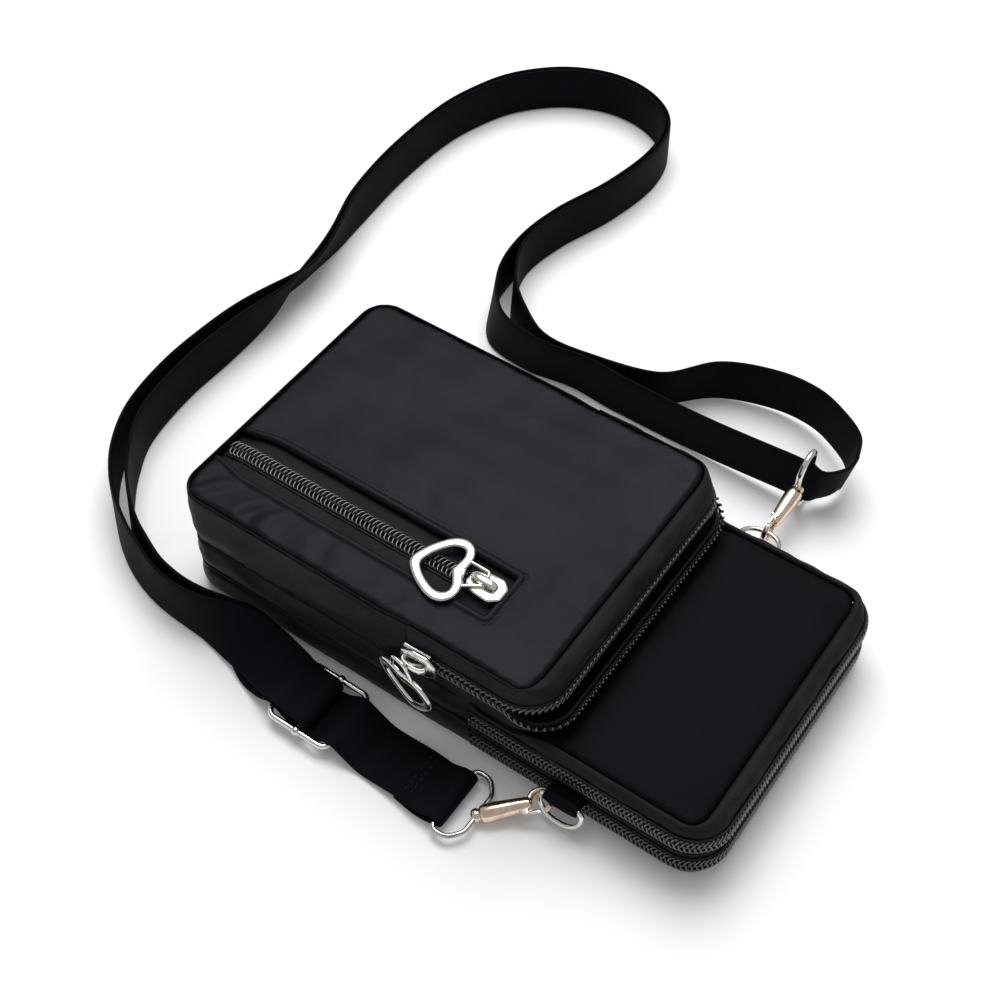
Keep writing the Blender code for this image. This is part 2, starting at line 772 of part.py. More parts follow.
def pin_mesh():
    """The gate's pin, which stands on the ear and holds the gate."""
    ring = [tuple(point) for point in arc((0, 0), pin_radius, 0, 315, 7)[0]]
    low = bow_thickness / 2 + gap
    return slab([ring], low, low + pin_head)


def eye_shape(post_way):
    """A strap eye in its own frame: its bar lies along Y behind, and its swivel post leaves the
    origin the given way."""
    half = strap_width / 2 + strap_play + eye_wire / 2
    wire = eye_wire / 2
    front = -wire * 0.3
    back = -eye_depth
    corners = [(back, -half), (back, half), (back + 0.0060, half), (front, half * 0.62),
               (front, -half * 0.62), (back + 0.0060, -half)]
    radii = [0.0022, 0.0022, 0.0030, 0.0030, 0.0030, 0.0030]
    outline = rounded(corners, radii, 3)
    loop = tube([(x, y, 0) for x, y in outline], wire, 8, True)
    reach = ball_radius + swivel_depth
    small = ball_radius * 0.5
    post = lathe([(-ball_radius, 0.0), (-ball_radius * 0.8, small), (0.0, ball_radius),
                  (ball_radius * 0.8, ball_radius * 0.7), (ball_radius * 0.98, swivel_post),
                  (reach, swivel_post), (reach, 0.0)])
    turn = Vector((1, 0, 0)).rotation_difference(post_way)
    post = [turn @ Vector(vertex) for vertex in post[0]], post[1]
    return fused("eye", [loop, post])


def hook_frames():
    """Each hook's place: from the eye's swivel to the middle of the bow round the ring's wire."""
    left_wire = Vector((ring_out, tab_y, ring_height)) + Matrix.Rotation(
        math.radians(-left_ring_swing), 4, "Y") @ Vector((0, -ring_width / 2, -ring_depth * 0.47))
    left_bow = left_wire + Vector((0.0002, 0.0006, 0))
    left_swivel = Vector((half_width + left_eye_out, tab_y - left_eye_back, left_eye_height))
    swing = math.radians(right_ring_swing)
    right_wire = Vector((-ring_out - ring_depth * math.sin(swing), tab_y,
                         ring_height - ring_depth * math.cos(swing)))
    right_bow = right_wire + Vector((-0.0009, 0, 0.0004))
    right_height = strap_width / 2 + strap_play + eye_wire + gap
    away = math.sqrt(hook_reach ** 2 - (right_height - right_bow.z) ** 2)
    right_swivel = Vector((right_bow.x - away, right_bow.y, right_height))
    left_swivel = left_bow + (left_swivel - left_bow).normalized() * hook_reach
    left = frame_at(left_swivel, left_bow - left_swivel, (0, 0, -1))
    right = frame_at(right_swivel, right_bow - right_swivel, (0, -1, 0))
    return left, right


def hooks_and_eyes():
    left, right = hook_frames()
    hook = hook_mesh()
    gate, gate_angle = gate_mesh()
    gate = mesh_from("gate", gate)
    pin = mesh_from("gate_pin", pin_mesh())
    ear_x, ear_y = gate_pivot()
    at_pin = Matrix.Translation((ear_x, ear_y, 0))
    for side, where in (("left", left), ("right", right)):
        place(f"{side}_hook", hook, steel, where)
        place(f"{side}_gate", gate, steel, where @ at_pin @ Matrix.Rotation(gate_angle, 4, "Z"))
        place(f"{side}_gate_pin", pin, steel, where @ at_pin)
    left_flat = frame_at(left.translation, (0, 1, 0), (0, 0, 1))
    right_upright = frame_at(right.translation, (1, 0, 0), (0, 1, 0))
    for side, hook_at, eye_at in (("left", left, left_flat), ("right", right, right_upright)):
        post_way = eye_at.to_3x3().inverted() @ hook_at.col[0].xyz
        place(f"{side}_eye", eye_shape(post_way), steel, eye_at)


# Strap
def glide_mesh():
    """A wire tri-glide, flat, with its middle bar across the origin."""
    half = strap_width / 2 + strap_play + glide_wire
    reach = glide_length / 2
    wire = glide_wire / 2
    outline = rounded([(-half, -reach), (half, -reach), (half, reach), (-half, reach)],
                      [0.003] * 4, 3)
    loop = tube([(x, y, 0) for x, y in outline], wire, 8, True)
    bar = tube([(-half, 0, 0), (half, 0, 0)], wire * 0.98, 8)
    shapes = [loop, bar]
    for side in (-1, 1):
        ball = lathe([(-0.0016, 0.0), (-0.0012, 0.0010), (0.0, 0.0016), (0.0012, 0.0010),
                      (0.0016, 0.0)], 8)
        shapes.append(([(x + side * half, y, z) for x, y, z in ball[0]], ball[1]))
    return fused("tri_glide", shapes)


def strap_routes():
    """The middle lines of the two runs of the strap, as rows of (x, y, z, roll).

    The main run goes from its sewn end round the left eye, through the tri-glide and round the
    pouch's bottom end to the right eye. The return run comes back beside it to the middle bar of
    the tri-glide, where it is sewn to itself. Y is counted from the pouch's bottom end.
    """
    layer = strap_thickness / 2
    edge = strap_width / 2 + gap
    flat = layer + gap
    left, right = (where.translation for where in hook_frames())
    bar_y = left.y - bottom_y - eye_depth
    eye_turn = eye_wire / 2 + gap + layer
    eye_low = left.z - eye_turn
    eye_high = left.z + eye_turn
    over = glide_height + glide_wire / 2 + gap * 2 + layer
    under = flat
    sewn = [(0.0722, bar_y - 0.0150, flat, 0), (0.0732, bar_y - 0.0070, flat + 0.0001, 0),
            (left.x, bar_y - 0.0010, eye_low, 0),
            (left.x, bar_y + eye_turn * 0.72, left.z - eye_turn * 0.70, 0),
            (left.x, bar_y + eye_turn, left.z, 0),
            (left.x, bar_y + eye_turn * 0.72, left.z + eye_turn * 0.70, 0),
            (left.x, bar_y - 0.0010, eye_high, 0), (0.0733, bar_y - 0.0070, eye_high - 0.0012, 0),
            (0.0724, bar_y - 0.0150, flat + strap_thickness + 0.0008, 0)]
    near, far = glide_at + glide_length / 2, glide_at - glide_length / 2
    through = [(0.0718, near + 0.0130, flat + 0.0004, 0), (0.0716, near + 0.0060, over - 0.0028, 0),
               (0.0714, near, over, 0), (0.0712, glide_at + 0.0055, under + 0.0016, 0),
               (glide_x, glide_at, under, 0), (0.0707, glide_at - 0.0055, under + 0.0016, 0),
               (0.0703, far, over, 0), (0.0697, far - 0.0060, over - 0.0028, 0),
               (0.0690, far - 0.0130, flat + 0.0003, 0)]
    turning = [(0.0685, 0.0360, 0.0028, 10), (0.0700, 0.0280, 0.0062, 32),
               (0.0730, 0.0200, 0.0095, 62), (0.0745, 0.0120, edge, 85), (0.0743, 0.0040, edge, 90)]
    outer = [(0.0730, -0.0050, edge, 90), (0.0660, -0.0220, edge, 90), (0.0560, -0.0380, edge, 90),
             (0.0400, -0.0510, edge, 90), (0.0100, -0.0650, edge, 90), (-0.0220, -0.0640, edge, 90),
             (-0.0600, -0.0605, edge, 90)]
    pair = [(-0.0800, -0.0600), (-0.1000, -0.0620), (-0.1210, -0.0660), (-0.1500, -0.0690),
            (-0.1800, -0.0685), (-0.2000, -0.0645), (-0.2190, -0.0560), (-0.2350, -0.0400),
            (-0.2430, -0.0200), (-0.2410, 0.0000), (-0.2300, 0.0150), (-0.2100, 0.0205),
            (-0.1830, 0.0170), (-0.1570, 0.0090), (-0.1350, 0.0065), (-0.1150, 0.0120),
            (-0.1010, 0.0230), (-0.0945, 0.0400), (-0.0960, 0.0600)]
    spacing = strap_thickness / 2 + gap
    main_pair, return_pair = beside(pair, spacing, edge), beside(pair, -spacing, edge)
    raised = strap_width / 2 + strap_play + eye_wire + gap
    rise = raised - edge
    bar_x, bar_at = right.x - eye_depth, right.y - bottom_y
    inside = bar_x + eye_wire / 2 + gap + 0.0020 + layer
    outer_turn = [(-0.1040, 0.0870, edge, 90), (-0.1210, 0.1040, edge, 90),
                  (-0.1280, 0.1240, edge + rise * 0.3, 90), (-0.1275, 0.1410, edge + rise * 0.7, 90),
                  (-0.1215, bar_at, raised, 90), (-0.1150, bar_at + 0.0085, raised, 90),
                  (bar_x - 0.0075, bar_at + 0.0112, raised, 90)]
    back_turn = [(bar_x - 0.0018, bar_at + 0.0098, raised, 90),
                 (inside - 0.0006, bar_at + 0.0050, raised, 90),
                 (inside, bar_at, raised, 90), (inside, 0.1450, edge + rise * 0.8, 90),
                 (-0.0940, 0.1190, edge + rise * 0.2, 90), (-0.0940, 0.0980, edge, 90),
                 (-0.0942, 0.0780, edge, 90)]
    inner = [(-0.0600, -0.0570, edge, 90), (-0.0300, -0.0572, edge, 90), (-0.0050, -0.0580, edge, 90),
             (0.0180, -0.0550, edge, 90), (0.0330, -0.0480, edge, 90), (0.0460, -0.0370, edge, 90),
             (0.0550, -0.0220, edge, 90), (0.0605, -0.0050, edge, 90)]
    second = over + strap_thickness + gap * 2
    bar_turn = glide_wire / 2 + gap + layer
    laid = [(0.0608, 0.0040, edge, 90), (0.0612, 0.0120, edge, 87), (0.0630, 0.0200, 0.0100, 66),
            (0.0655, 0.0280, 0.0084, 38), (0.0672, 0.0360, 0.0060, 12),
            (0.0690, far - 0.0120, flat + strap_thickness + 0.0020, 0),
            (0.0697, far - 0.0050, second - 0.0012, 0), (0.0703, far, second + 0.0002, 0),
            (0.0706, glide_at - 0.0050, over + 0.0007, 0), (glide_x, glide_at - 0.0002, over, 0),
            (glide_x, glide_at + bar_turn * 0.75, glide_height + bar_turn * 0.68, 0),
            (glide_x, glide_at + bar_turn, glide_height, 0),
            (glide_x, glide_at + bar_turn * 0.75, glide_height - bar_turn * 0.68, 0),
            (glide_x, glide_at - 0.0002, glide_height - bar_turn, 0),
            (0.0708, glide_at - 0.0035, glide_height - 0.0010, 0),
            (0.0706, glide_at - 0.0068, glide_height + 0.0012, 0)]
    main = sewn + through + turning + outer + main_pair + outer_turn
    back = outer_turn[-1:] + back_turn + return_pair[::-1] + inner + laid
    return main, back


def beside(line, offset, height):
    """The line moved to its left by the offset, at one height and standing on its edge."""
    points = np.array(line)
    along = np.gradient(points, axis=0)
    along /= np.linalg.norm(along, axis=1, keepdims=True)
    left = np.stack([-along[:, 1], along[:, 0]], axis=1)
    return [(x, y, height, 90) for x, y in points + left * offset]


def strap_run(name, points):
    """One run of webbing along a smooth curve through its route points, cut a gap short."""
    route = smooth_route(points, 2)
    route[:, 1] += bottom_y
    route[-1, :3] -= unit(route[-1, :3] - route[-2, :3]) * gap
    piece(name, ribbon(route), webbing)


def strap():
    main, back = strap_routes()
    strap_run("strap_main", main)
    strap_run("strap_return", back)
    middle = (glide_x, bottom_y + glide_at, glide_height)
    place("tri_glide", glide_mesh(), steel, Matrix.Translation(middle))


pouch_body()
front_panel()
pocket_lining()
closed_zip("rear_zip", rear_zip_height, back_thickness + gap, divider_under - gap,
           np.zeros(len(lower_top[0])))
closed_zip("middle_zip", middle_zip_height, divider_height + gap, step_height,
           beyond_upper_tier(lower_top))
front_zip()
pocket_zip()
sliders_and_pullers()
sides_hardware()
hooks_and_eyes()
strap()
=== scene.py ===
# %% [markdown]
# # A zipped phone pouch on a doubled strap
# The pouch lies on its flat back. X runs across it, Y from its closed bottom end to its mouth,
# and Z up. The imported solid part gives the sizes, the bodies and the joints, and this lesson
# dresses it: each step makes one visible piece, and says why it is made that way.

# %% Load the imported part
import math

import bmesh
import bpy
import numpy as np
from mathutils import Matrix


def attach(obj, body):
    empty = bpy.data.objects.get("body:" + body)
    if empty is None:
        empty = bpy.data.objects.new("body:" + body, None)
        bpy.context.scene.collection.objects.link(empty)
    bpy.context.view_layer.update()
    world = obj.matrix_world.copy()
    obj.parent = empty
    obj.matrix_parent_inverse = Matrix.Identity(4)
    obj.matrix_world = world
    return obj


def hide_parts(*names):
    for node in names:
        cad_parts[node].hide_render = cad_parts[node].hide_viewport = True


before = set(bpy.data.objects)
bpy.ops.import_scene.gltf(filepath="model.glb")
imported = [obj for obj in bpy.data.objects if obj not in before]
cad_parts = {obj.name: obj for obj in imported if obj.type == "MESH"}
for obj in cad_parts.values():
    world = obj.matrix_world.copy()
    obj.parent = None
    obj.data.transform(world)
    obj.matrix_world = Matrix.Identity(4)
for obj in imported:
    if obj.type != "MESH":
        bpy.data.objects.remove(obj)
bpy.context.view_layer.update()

# %% [markdown]
# ## Sizes
# The pieces sit exactly where the solids are, so the sizes that shape the solids are written
# down once more, in metres. The pouch has two tiers. The long lower one holds two closed zipped
# compartments, and the shorter upper one has the open mouth and the pocket on top.

# %% Sizes that the solid part has too
half_width = 0.054
bottom_y, top_y, upper_y = -0.101, 0.101, 0.0424
lower_split, upper_split = 0.016, -0.007
back_high, divider_low, divider_high = 0.0022, 0.0134, 0.0142
step_high, bag_high = 0.0272, 0.0493
bottom_corner, top_corner = 0.010, 0.013
rear_zip_z, middle_zip_z, front_zip_z = 0.00825, 0.01975, 0.0383
coil_near, coil_far, coil_out = 0.0008, 0.0030, 0.0013
mouth_lean, mouth_drop, mouth_rise = 0.0030, 0.0035, 0.0010
pocket_x, pocket_half, pocket_top_y = 0.0282, 0.0084, 0.0095
gap, wire_gap = 0.0003, 0.0010
strap_width, strap_thick = 0.020, 0.0014
eye_wire, eye_depth, glide_wire = 0.0022, 0.0099, 0.0020
glide_at, glide_length, glide_height = 0.069, 0.024, 0.0048
glide_x = half_width + 0.0170
ring_out, ring_z, tab_y = half_width + 0.0049, 0.0126, 0.0535
ring_wire, ring_width, ring_depth = 0.0018, 0.0150, 0.0094
hook_reach = 0.0195
print("pouch", 2 * half_width, top_y - bottom_y, bag_high)

# %% [markdown]
# ## Camera
# The picture looks down at the pouch from its mouth end and its zipped side, 51 degrees above
# the table. A camera is an object whose own axes are its right, its up and the way back from
# what it looks at, so those three directions and its place make its matrix.

# %% Camera
right = np.array((-0.57458, 0.81844, -0.00357))
upward = np.array((-0.63942, -0.44616, 0.62617))
backward = np.array((0.51089, 0.36207, 0.77968))
turned = np.eye(4)
turned[:3, :3] = np.stack([right, upward, backward], axis=1)
turned[:3, 3] = (0.25968, 0.17356, 0.44918)
lens = bpy.data.cameras.new("camera")
lens.lens, lens.sensor_width = 57.94, 36.0
lens.clip_start, lens.clip_end = 0.01, 20.0
camera = bpy.data.objects.new("camera", lens)
bpy.context.scene.collection.objects.link(camera)
camera.matrix_world = Matrix(turned.tolist())
bpy.context.scene.camera = camera
bpy.context.scene.view_settings.view_transform = "Standard"
print("camera at", np.round(turned[:3, 3], 3))

# %% [markdown]
# ## Grids
# Nearly every piece is a sheet or a tube, so it is a grid of points: one direction runs along
# the piece and the other across it. numpy works out all the points at once, and one array of
# indices joins each point to its neighbours. Where a tube closes on itself its first line of
# points is repeated, which keeps the UV map whole, and the doubles are merged afterwards.


# %% Grid helpers
def unit(vectors):
    """Each vector divided by its length."""
    return vectors / np.linalg.norm(vectors, axis=-1, keepdims=True)


def smooth(value, low, high):
    """0 below low, 1 above high, and 3t^2 - 2t^3 between them."""
    t = np.clip((value - low) / (high - low), 0, 1)
    return t * t * (3 - 2 * t)


def cells(rows, columns, keep=None):
    """The four corners of each cell of a grid of points, for the cells that are kept."""
    number = np.arange(rows * columns).reshape(rows, columns)
    corners = np.stack([number[:-1, :-1], number[1:, :-1], number[1:, 1:], number[:-1, 1:]], axis=-1)
    return corners.reshape(-1, 4) if keep is None else corners[keep]


# %% [markdown]
# ### Lines and places
# A strap or a bent wire begins as a few measured points. A smooth curve joins them, and its points
# are then spaced evenly, so the grid built on it has cells of one size. A four by four matrix says
# where a part that is made at the origin goes.


# %% Lines and matrices
def curve_through(points, steps):
    """A Catmull-Rom curve: each span is a cubic that leaves a point along its neighbours' chord."""
    points = np.asarray(points, float)
    padded = np.vstack([2 * points[0] - points[1], points, 2 * points[-1] - points[-2]])
    a, b, c, d = (padded[k:len(padded) - 3 + k, None] for k in range(4))
    t = (np.arange(steps) / steps)[None, :, None]
    spans = b + t * (c - a) / 2 + t ** 2 * (a - 2.5 * b + 2 * c - d / 2)
    spans = spans + t ** 3 * (1.5 * b - a / 2 - 1.5 * c + d / 2)
    return np.vstack([spans.reshape(-1, points.shape[1]), points[-1:]])


def run_length(points):
    """How far along a line each of its points is."""
    return np.concatenate([[0], np.cumsum(np.linalg.norm(np.diff(points, axis=0), axis=1))])


def evenly(points, spacing):
    """The same line with its points the same distance apart, at most the given spacing."""
    run = run_length(np.asarray(points)[:, :3])
    wanted = np.linspace(0, run[-1], max(2, math.ceil(run[-1] / spacing) + 1))
    return np.stack([np.interp(wanted, run, column) for column in np.asarray(points).T], axis=1)


def moved(points, matrix):
    """Points carried by a four by four matrix."""
    return np.asarray(points) @ matrix[:3, :3].T + matrix[:3, 3]


def frame_at(origin, forward, up):
    """The matrix whose X axis is forward and whose Z axis is as near to up as can be."""
    forward = unit(np.array(forward, float))
    side = unit(np.cross(up, forward))
    made = np.eye(4)
    made[:3, :3] = np.stack([forward, side, np.cross(forward, side)], axis=1)
    made[:3, 3] = origin
    return made


def turn(axis, degrees):
    """The matrix that turns about the X, Y or Z axis."""
    return np.array(Matrix.Rotation(math.radians(degrees), 4, axis))


def shift(x, y, z):
    """The matrix that moves by x, y and z."""
    return np.array(Matrix.Translation((x, y, z)))


# %% [markdown]
# ## Pieces
# One function turns grids into an object. It merges doubled points, which also closes a tube and
# its two poles, and turns the faces outward. A closed piece can tell its outside by itself. An
# open sheet is told a point inside the pouch to face away from, and then gets the thickness of
# its cloth on that inner side from a Solidify modifier.

# %% Piece maker
made_pieces = {}


def piece(name, parts, look, body="pouch", stands_for=(), inside=None, wall=0.0, crease=38):
    """An object from (points, faces, uv) parts, riding on a body in its own finish."""
    points = np.vstack([part[0].reshape(-1, 3) for part in parts])
    starts = np.cumsum([0] + [part[0].size // 3 for part in parts[:-1]])
    faces = np.vstack([part[1] + start for part, start in zip(parts, starts)])
    uv = np.vstack([part[2].reshape(-1, 2) for part in parts])
    mesh = bpy.data.meshes.new(name)
    mesh.vertices.add(len(points))
    mesh.vertices.foreach_set("co", points.ravel())
    mesh.loops.add(faces.size)
    mesh.loops.foreach_set("vertex_index", faces.ravel())
    mesh.polygons.add(len(faces))
    mesh.polygons.foreach_set("loop_start", np.arange(0, faces.size, 4))
    mesh.update(calc_edges=True)
    mesh.uv_layers.new(name="cloth").data.foreach_set("uv", uv[faces.ravel()].ravel())
    work = bmesh.new()
    work.from_mesh(mesh)
    bmesh.ops.remove_doubles(work, verts=work.verts, dist=2e-7)
    loose = [vertex for vertex in work.verts if not vertex.link_faces]
    bmesh.ops.delete(work, geom=loose, context="VERTS")
    bmesh.ops.recalc_face_normals(work, faces=work.faces)
    work.to_mesh(mesh)
    work.free()
    if inside is not None:
        count = len(mesh.polygons)
        middle, normal, area = np.empty(count * 3), np.empty(count * 3), np.empty(count)
        mesh.polygons.foreach_get("center", middle)
        mesh.polygons.foreach_get("normal", normal)
        mesh.polygons.foreach_get("area", area)
        away = (middle.reshape(-1, 3) - inside) * normal.reshape(-1, 3)
        if (away.sum(1) * area).sum() < 0:
            mesh.flip_normals()
    mesh.shade_smooth()
    mesh.set_sharp_from_angle(angle=math.radians(crease))
    mesh.materials.append(look)
    made = bpy.data.objects.new(name, mesh)
    bpy.context.scene.collection.objects.link(made)
    if wall:
        thick = made.modifiers.new("cloth", "SOLIDIFY")
        thick.thickness, thick.offset = wall, -1.0
    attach(made, body)
    if stands_for:
        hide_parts(*stands_for)
    made_pieces[name] = len(mesh.polygons)
    return made


# %% [markdown]
# ### Parts of a piece
# Each of these turns a shape into points, faces and a UV map for the function above: a sheet of
# cloth, a wire along a line, and a profile turned on a lathe. Outlines get their rounded corners
# here too, because nothing on a sewn or cast thing is quite sharp.


# %% Sheets, wires and turned parts
def sheet(points, keep=None, uv=None):
    """The part of a grid of points. Its UV map is the distance along and across, in metres."""
    if uv is None:
        across = np.linalg.norm(np.diff(points, axis=1), axis=2).mean(0)
        along = np.linalg.norm(np.diff(points, axis=0), axis=2).mean(1)
        u, v = np.concatenate([[0], np.cumsum(along)]), np.concatenate([[0], np.cumsum(across)])
        uv = np.stack(np.meshgrid(u, v, indexing="ij"), axis=-1)
    return points, cells(*points.shape[:2], keep), uv


def tube(line, square_to, wide, thick=None, sides=10, closed=False):
    """An oval wire along a line. Its section is a cos and b sin of an angle, on the direction
    square_to and on the one square to that and to the line."""
    line = np.asarray(line, float)
    if closed:
        line = np.vstack([line, line[:1]])
        along = np.roll(line[:-1], -1, axis=0) - np.roll(line[:-1], 1, axis=0)
        along = unit(np.vstack([along, along[:1]]))
    else:
        along = unit(np.gradient(line, axis=0))
    first = np.broadcast_to(np.asarray(square_to, float), line.shape)
    first = unit(first - along * np.sum(first * along, axis=1, keepdims=True))
    second = np.cross(along, first)
    angle = np.linspace(0, 2 * np.pi, sides + 1)
    angle[-1] = 0
    wide = np.broadcast_to(wide, len(line))[:, None, None]
    thick = wide if thick is None else np.broadcast_to(thick, len(line))[:, None, None]
    ring = np.cos(angle)[None, :, None] * first[:, None] * wide
    ring = ring + np.sin(angle)[None, :, None] * second[:, None] * thick
    grid = line[:, None] + ring
    if not closed:
        poles = [np.repeat(line[k][None, None], sides + 1, axis=1) for k in (0, -1)]
        grid = np.concatenate([poles[0], grid, poles[1]])
    return sheet(grid)


def rounded(corners, radii, steps=6):
    """An outline whose corners are arcs that touch both of their sides."""
    corners = np.asarray(corners, float)
    radii = np.asarray(radii, float)[:, None]
    before = unit(np.roll(corners, 1, axis=0) - corners)
    after = unit(np.roll(corners, -1, axis=0) - corners)
    half = np.arccos(np.clip(np.sum(before * after, axis=1, keepdims=True), -1, 1)) / 2
    centre = corners + unit(before + after) * radii / np.sin(half)
    start = corners + before * radii / np.tan(half) - centre
    end = corners + after * radii / np.tan(half) - centre
    turned = np.arctan2(start[:, 0] * end[:, 1] - start[:, 1] * end[:, 0], np.sum(start * end, axis=1))
    angle = turned[:, None] * np.linspace(0, 1, steps + 1)
    cos, sin = np.cos(angle), np.sin(angle)
    x = start[:, :1] * cos - start[:, 1:] * sin
    y = start[:, :1] * sin + start[:, 1:] * cos
    return (centre[:, None] + np.stack([x, y], axis=-1)).reshape(-1, 2)


def lathe(profile, steps=24):
    """A profile of (along, radius) points turned round the X axis."""
    profile = np.asarray(profile, float)
    angle = np.linspace(0, 2 * np.pi, steps + 1)
    angle[-1] = 0
    x = np.repeat(profile[:, :1], steps + 1, axis=1)
    y, z = profile[:, 1:] * np.cos(angle), profile[:, 1:] * np.sin(angle)
    return sheet(np.stack([x, y, z], axis=-1))


def placed(part, matrix):
    """A part carried by a matrix."""
    return moved(part[0], matrix), part[1], part[2]


# %% [markdown]
# ## Finishes
# A finish is a small program made of nodes. Writing it as arithmetic is easier to read than
# wiring boxes, so one class stands for an output of a node, and adding or multiplying two of
# them puts in the Math node for it. Every other node goes in through one method.


# %% Shader arithmetic
class Wire:
    """One output of a node in a material."""

    def __init__(self, tree, socket=None):
        self.tree, self.socket = tree, socket

    def node(self, kind, settings=None, values=None, output=0):
        """Adds a node: first its settings, then the values or links of its sockets."""
        made = self.tree.nodes.new("ShaderNode" + kind)
        for name, setting in (settings or {}).items():
            setattr(made, name, setting)
        for name, value in (values or {}).items():
            if isinstance(value, Wire):
                self.tree.links.new(value.socket, made.inputs[name])
            else:
                made.inputs[name].default_value = value
        return Wire(self.tree, made.outputs[output])

    def math(self, operation, *terms):
        return self.node("Math", {"operation": operation}, dict(enumerate(terms)))

    def __add__(self, other):
        return self.math("ADD", self, other)

    def __sub__(self, other):
        return self.math("SUBTRACT", self, other)

    def __rsub__(self, other):
        return self.math("SUBTRACT", other, self)

    def __mul__(self, other):
        return self.math("MULTIPLY", self, other)

    __radd__, __rmul__ = __add__, __mul__

    def split(self):
        """The numbers that a vector is made of."""
        parts = self.node("SeparateXYZ", {}, {"Vector": self}).socket.node.outputs
        return [Wire(self.tree, part) for part in parts]

    def sine(self):
        return self.math("SINE", self)

    def size(self):
        return self.math("ABSOLUTE", self)

    def within(self, low, high):
        """0 at low and below, 1 at high and above."""
        return self.node("MapRange", {"interpolation_type": "SMOOTHSTEP"},
                         {"Value": self, "From Min": low, "From Max": high})

    def blend(self, first, second):
        """The first colour where this is 0, and the second where it is 1."""
        return self.node("Mix", {"data_type": "RGBA"}, {0: self, 6: first, 7: second}, output=2)

    def noise(self, scale, detail=3.0, rough=0.55, stretch=(1.0, 1.0, 1.0)):
        """Cloudy noise on these coordinates, about 0.3 to 0.7."""
        spread = self.node("Mapping", {}, {"Vector": self, "Scale": stretch})
        return self.node("TexNoise", {}, {"Vector": spread, "Scale": scale, "Detail": detail,
                                          "Roughness": rough})


def finish(name, build, **constants):
    """A Principled material. Its constants are set directly, and build wires what varies."""
    made = bpy.data.materials.new(name)
    made.use_nodes = True
    tree = made.node_tree
    shader = tree.nodes["Principled BSDF"]
    for key, value in constants.items():
        shader.inputs[key.replace("_", " ").title().replace("Ior", "IOR")].default_value = value
    start = Wire(tree)
    here = start.node("TexCoord", output=3)
    flat = start.node("UVMap", {"uv_map": "cloth"})
    for key, value in build(start, here, flat).items():
        tree.links.new(value.socket, shader.inputs[key.replace("_", " ").title()])
    made.diffuse_color = (*shader.inputs["Base Color"].default_value[:3], 1.0)
    return made


def bump(start, height, depth):
    """A Bump node that turns a height of 0 to 1 into the given depth in metres."""
    return start.node("Bump", {}, {"Height": height, "Distance": depth, "Strength": 1.0})


# %% [markdown]
# ### Cloth
# The pouch is black nylon with a satin face. Seen close, it is a plain weave of threads half a
# millimetre apart. Its UV map is in metres, so two sine waves across each other give the threads
# at their true size, and broad noise makes some places a little flatter and shinier than others.
# The step inside the mouth gets a duller copy of the cloth, and its darker colour paints the
# shade that falls on the step. The zip tapes and the strap are knitted and woven more coarsely,
# so each has a pattern of its own.


# %% Cloth finishes
weave_pitch, weave_depth = 0.00055, 0.00008
violet_gloss, blue_gloss = (0.86, 0.83, 1.0, 1.0), (0.85, 0.90, 1.0, 1.0)


def woven(dark, light, rough):
    """A plain weave: |sin| of each direction makes round threads, which take turns on top."""
    def build(start, here, flat):
        along, across = (way * (math.pi / weave_pitch) for way in flat.split()[:2])
        warp, weft = along.sine().size(), across.sine().size()
        over = (along.sine() * across.sine()).within(-0.3, 0.3)
        threads = warp * over + weft * (1 - over)
        cloud = here.noise(60, 4).within(0.3, 0.7)
        soft = here.noise(16, 3).within(0.25, 0.75)
        fuzz = here.noise(2600, 2)
        height = threads * 0.35 + cloud * 1.6 + fuzz * 0.25
        shade = soft * 0.55 + threads * 0.3 + cloud * 0.15
        return {"base_color": shade.blend((*dark, 1), (*light, 1)),
                "roughness": soft * 0.12 + (rough - 0.06) + fuzz * 0.04,
                "normal": bump(start, height, weave_depth)}
    return build


nylon = finish("black nylon cloth", woven((0.0040, 0.0038, 0.0052), (0.0070, 0.0067, 0.0088), 0.42),
               specular_ior_level=0.11, specular_tint=violet_gloss)
# The step's copy of the nylon is duller, with less gloss, and darker as painted shade.
shaded_matt_nylon = finish("matt nylon cloth darkened for painted shade", woven((0.0030, 0.0028, 0.0038), (0.0052, 0.0049, 0.0064), 0.50),
                    specular_ior_level=0.035, specular_tint=violet_gloss)


def tape_threads(start, here, flat):
    """Zip tape is knitted in fine ribs along its length, with shorter stitches across them."""
    along, across = flat.split()[:2]
    ribs = (across * (math.pi / 0.0007)).sine().size()
    loops = ((along + across * 0.5) * (math.pi / 0.0006)).sine().size()
    fuzz = here.noise(2200, 3)
    worn = here.noise(70, 3).within(0.3, 0.7)
    height = ribs * 0.25 + loops * 0.3 + fuzz * 0.7
    shade = ribs * 0.2 + worn * 0.4 + fuzz * 0.4
    return {"base_color": shade.blend((0.0034, 0.0034, 0.0042, 1), (0.0145, 0.0143, 0.0168, 1)),
            "roughness": fuzz * 0.15 + 0.60, "normal": bump(start, height, 0.00014)}


tape_cloth = finish("zip tape cloth", tape_threads, specular_ior_level=0.12)


def strap_threads(start, here, flat):
    """Webbing: slanted ribs that change direction at the middle, and fine cross threads."""
    along, across = flat.split()[:2]
    ribs = ((along + across * 0.35) * (math.pi / 0.0008)).sine().size()
    fine = (across * (math.pi / 0.0007)).sine().size()
    fuzz = here.noise(1800, 3)
    worn = here.noise(35, 3).within(0.3, 0.7)
    height = ribs * 0.55 + fine * 0.35 + fuzz * 0.35
    shade = ribs * 0.35 + worn * 0.45 + fuzz * 0.2
    return {"base_color": shade.blend((0.0021, 0.0022, 0.0033, 1), (0.0056, 0.0058, 0.0082, 1)),
            "roughness": worn * 0.10 + 0.55, "normal": bump(start, height, 0.00006)}


webbing = finish("strap webbing", strap_threads, specular_ior_level=0.03, specular_tint=blue_gloss)


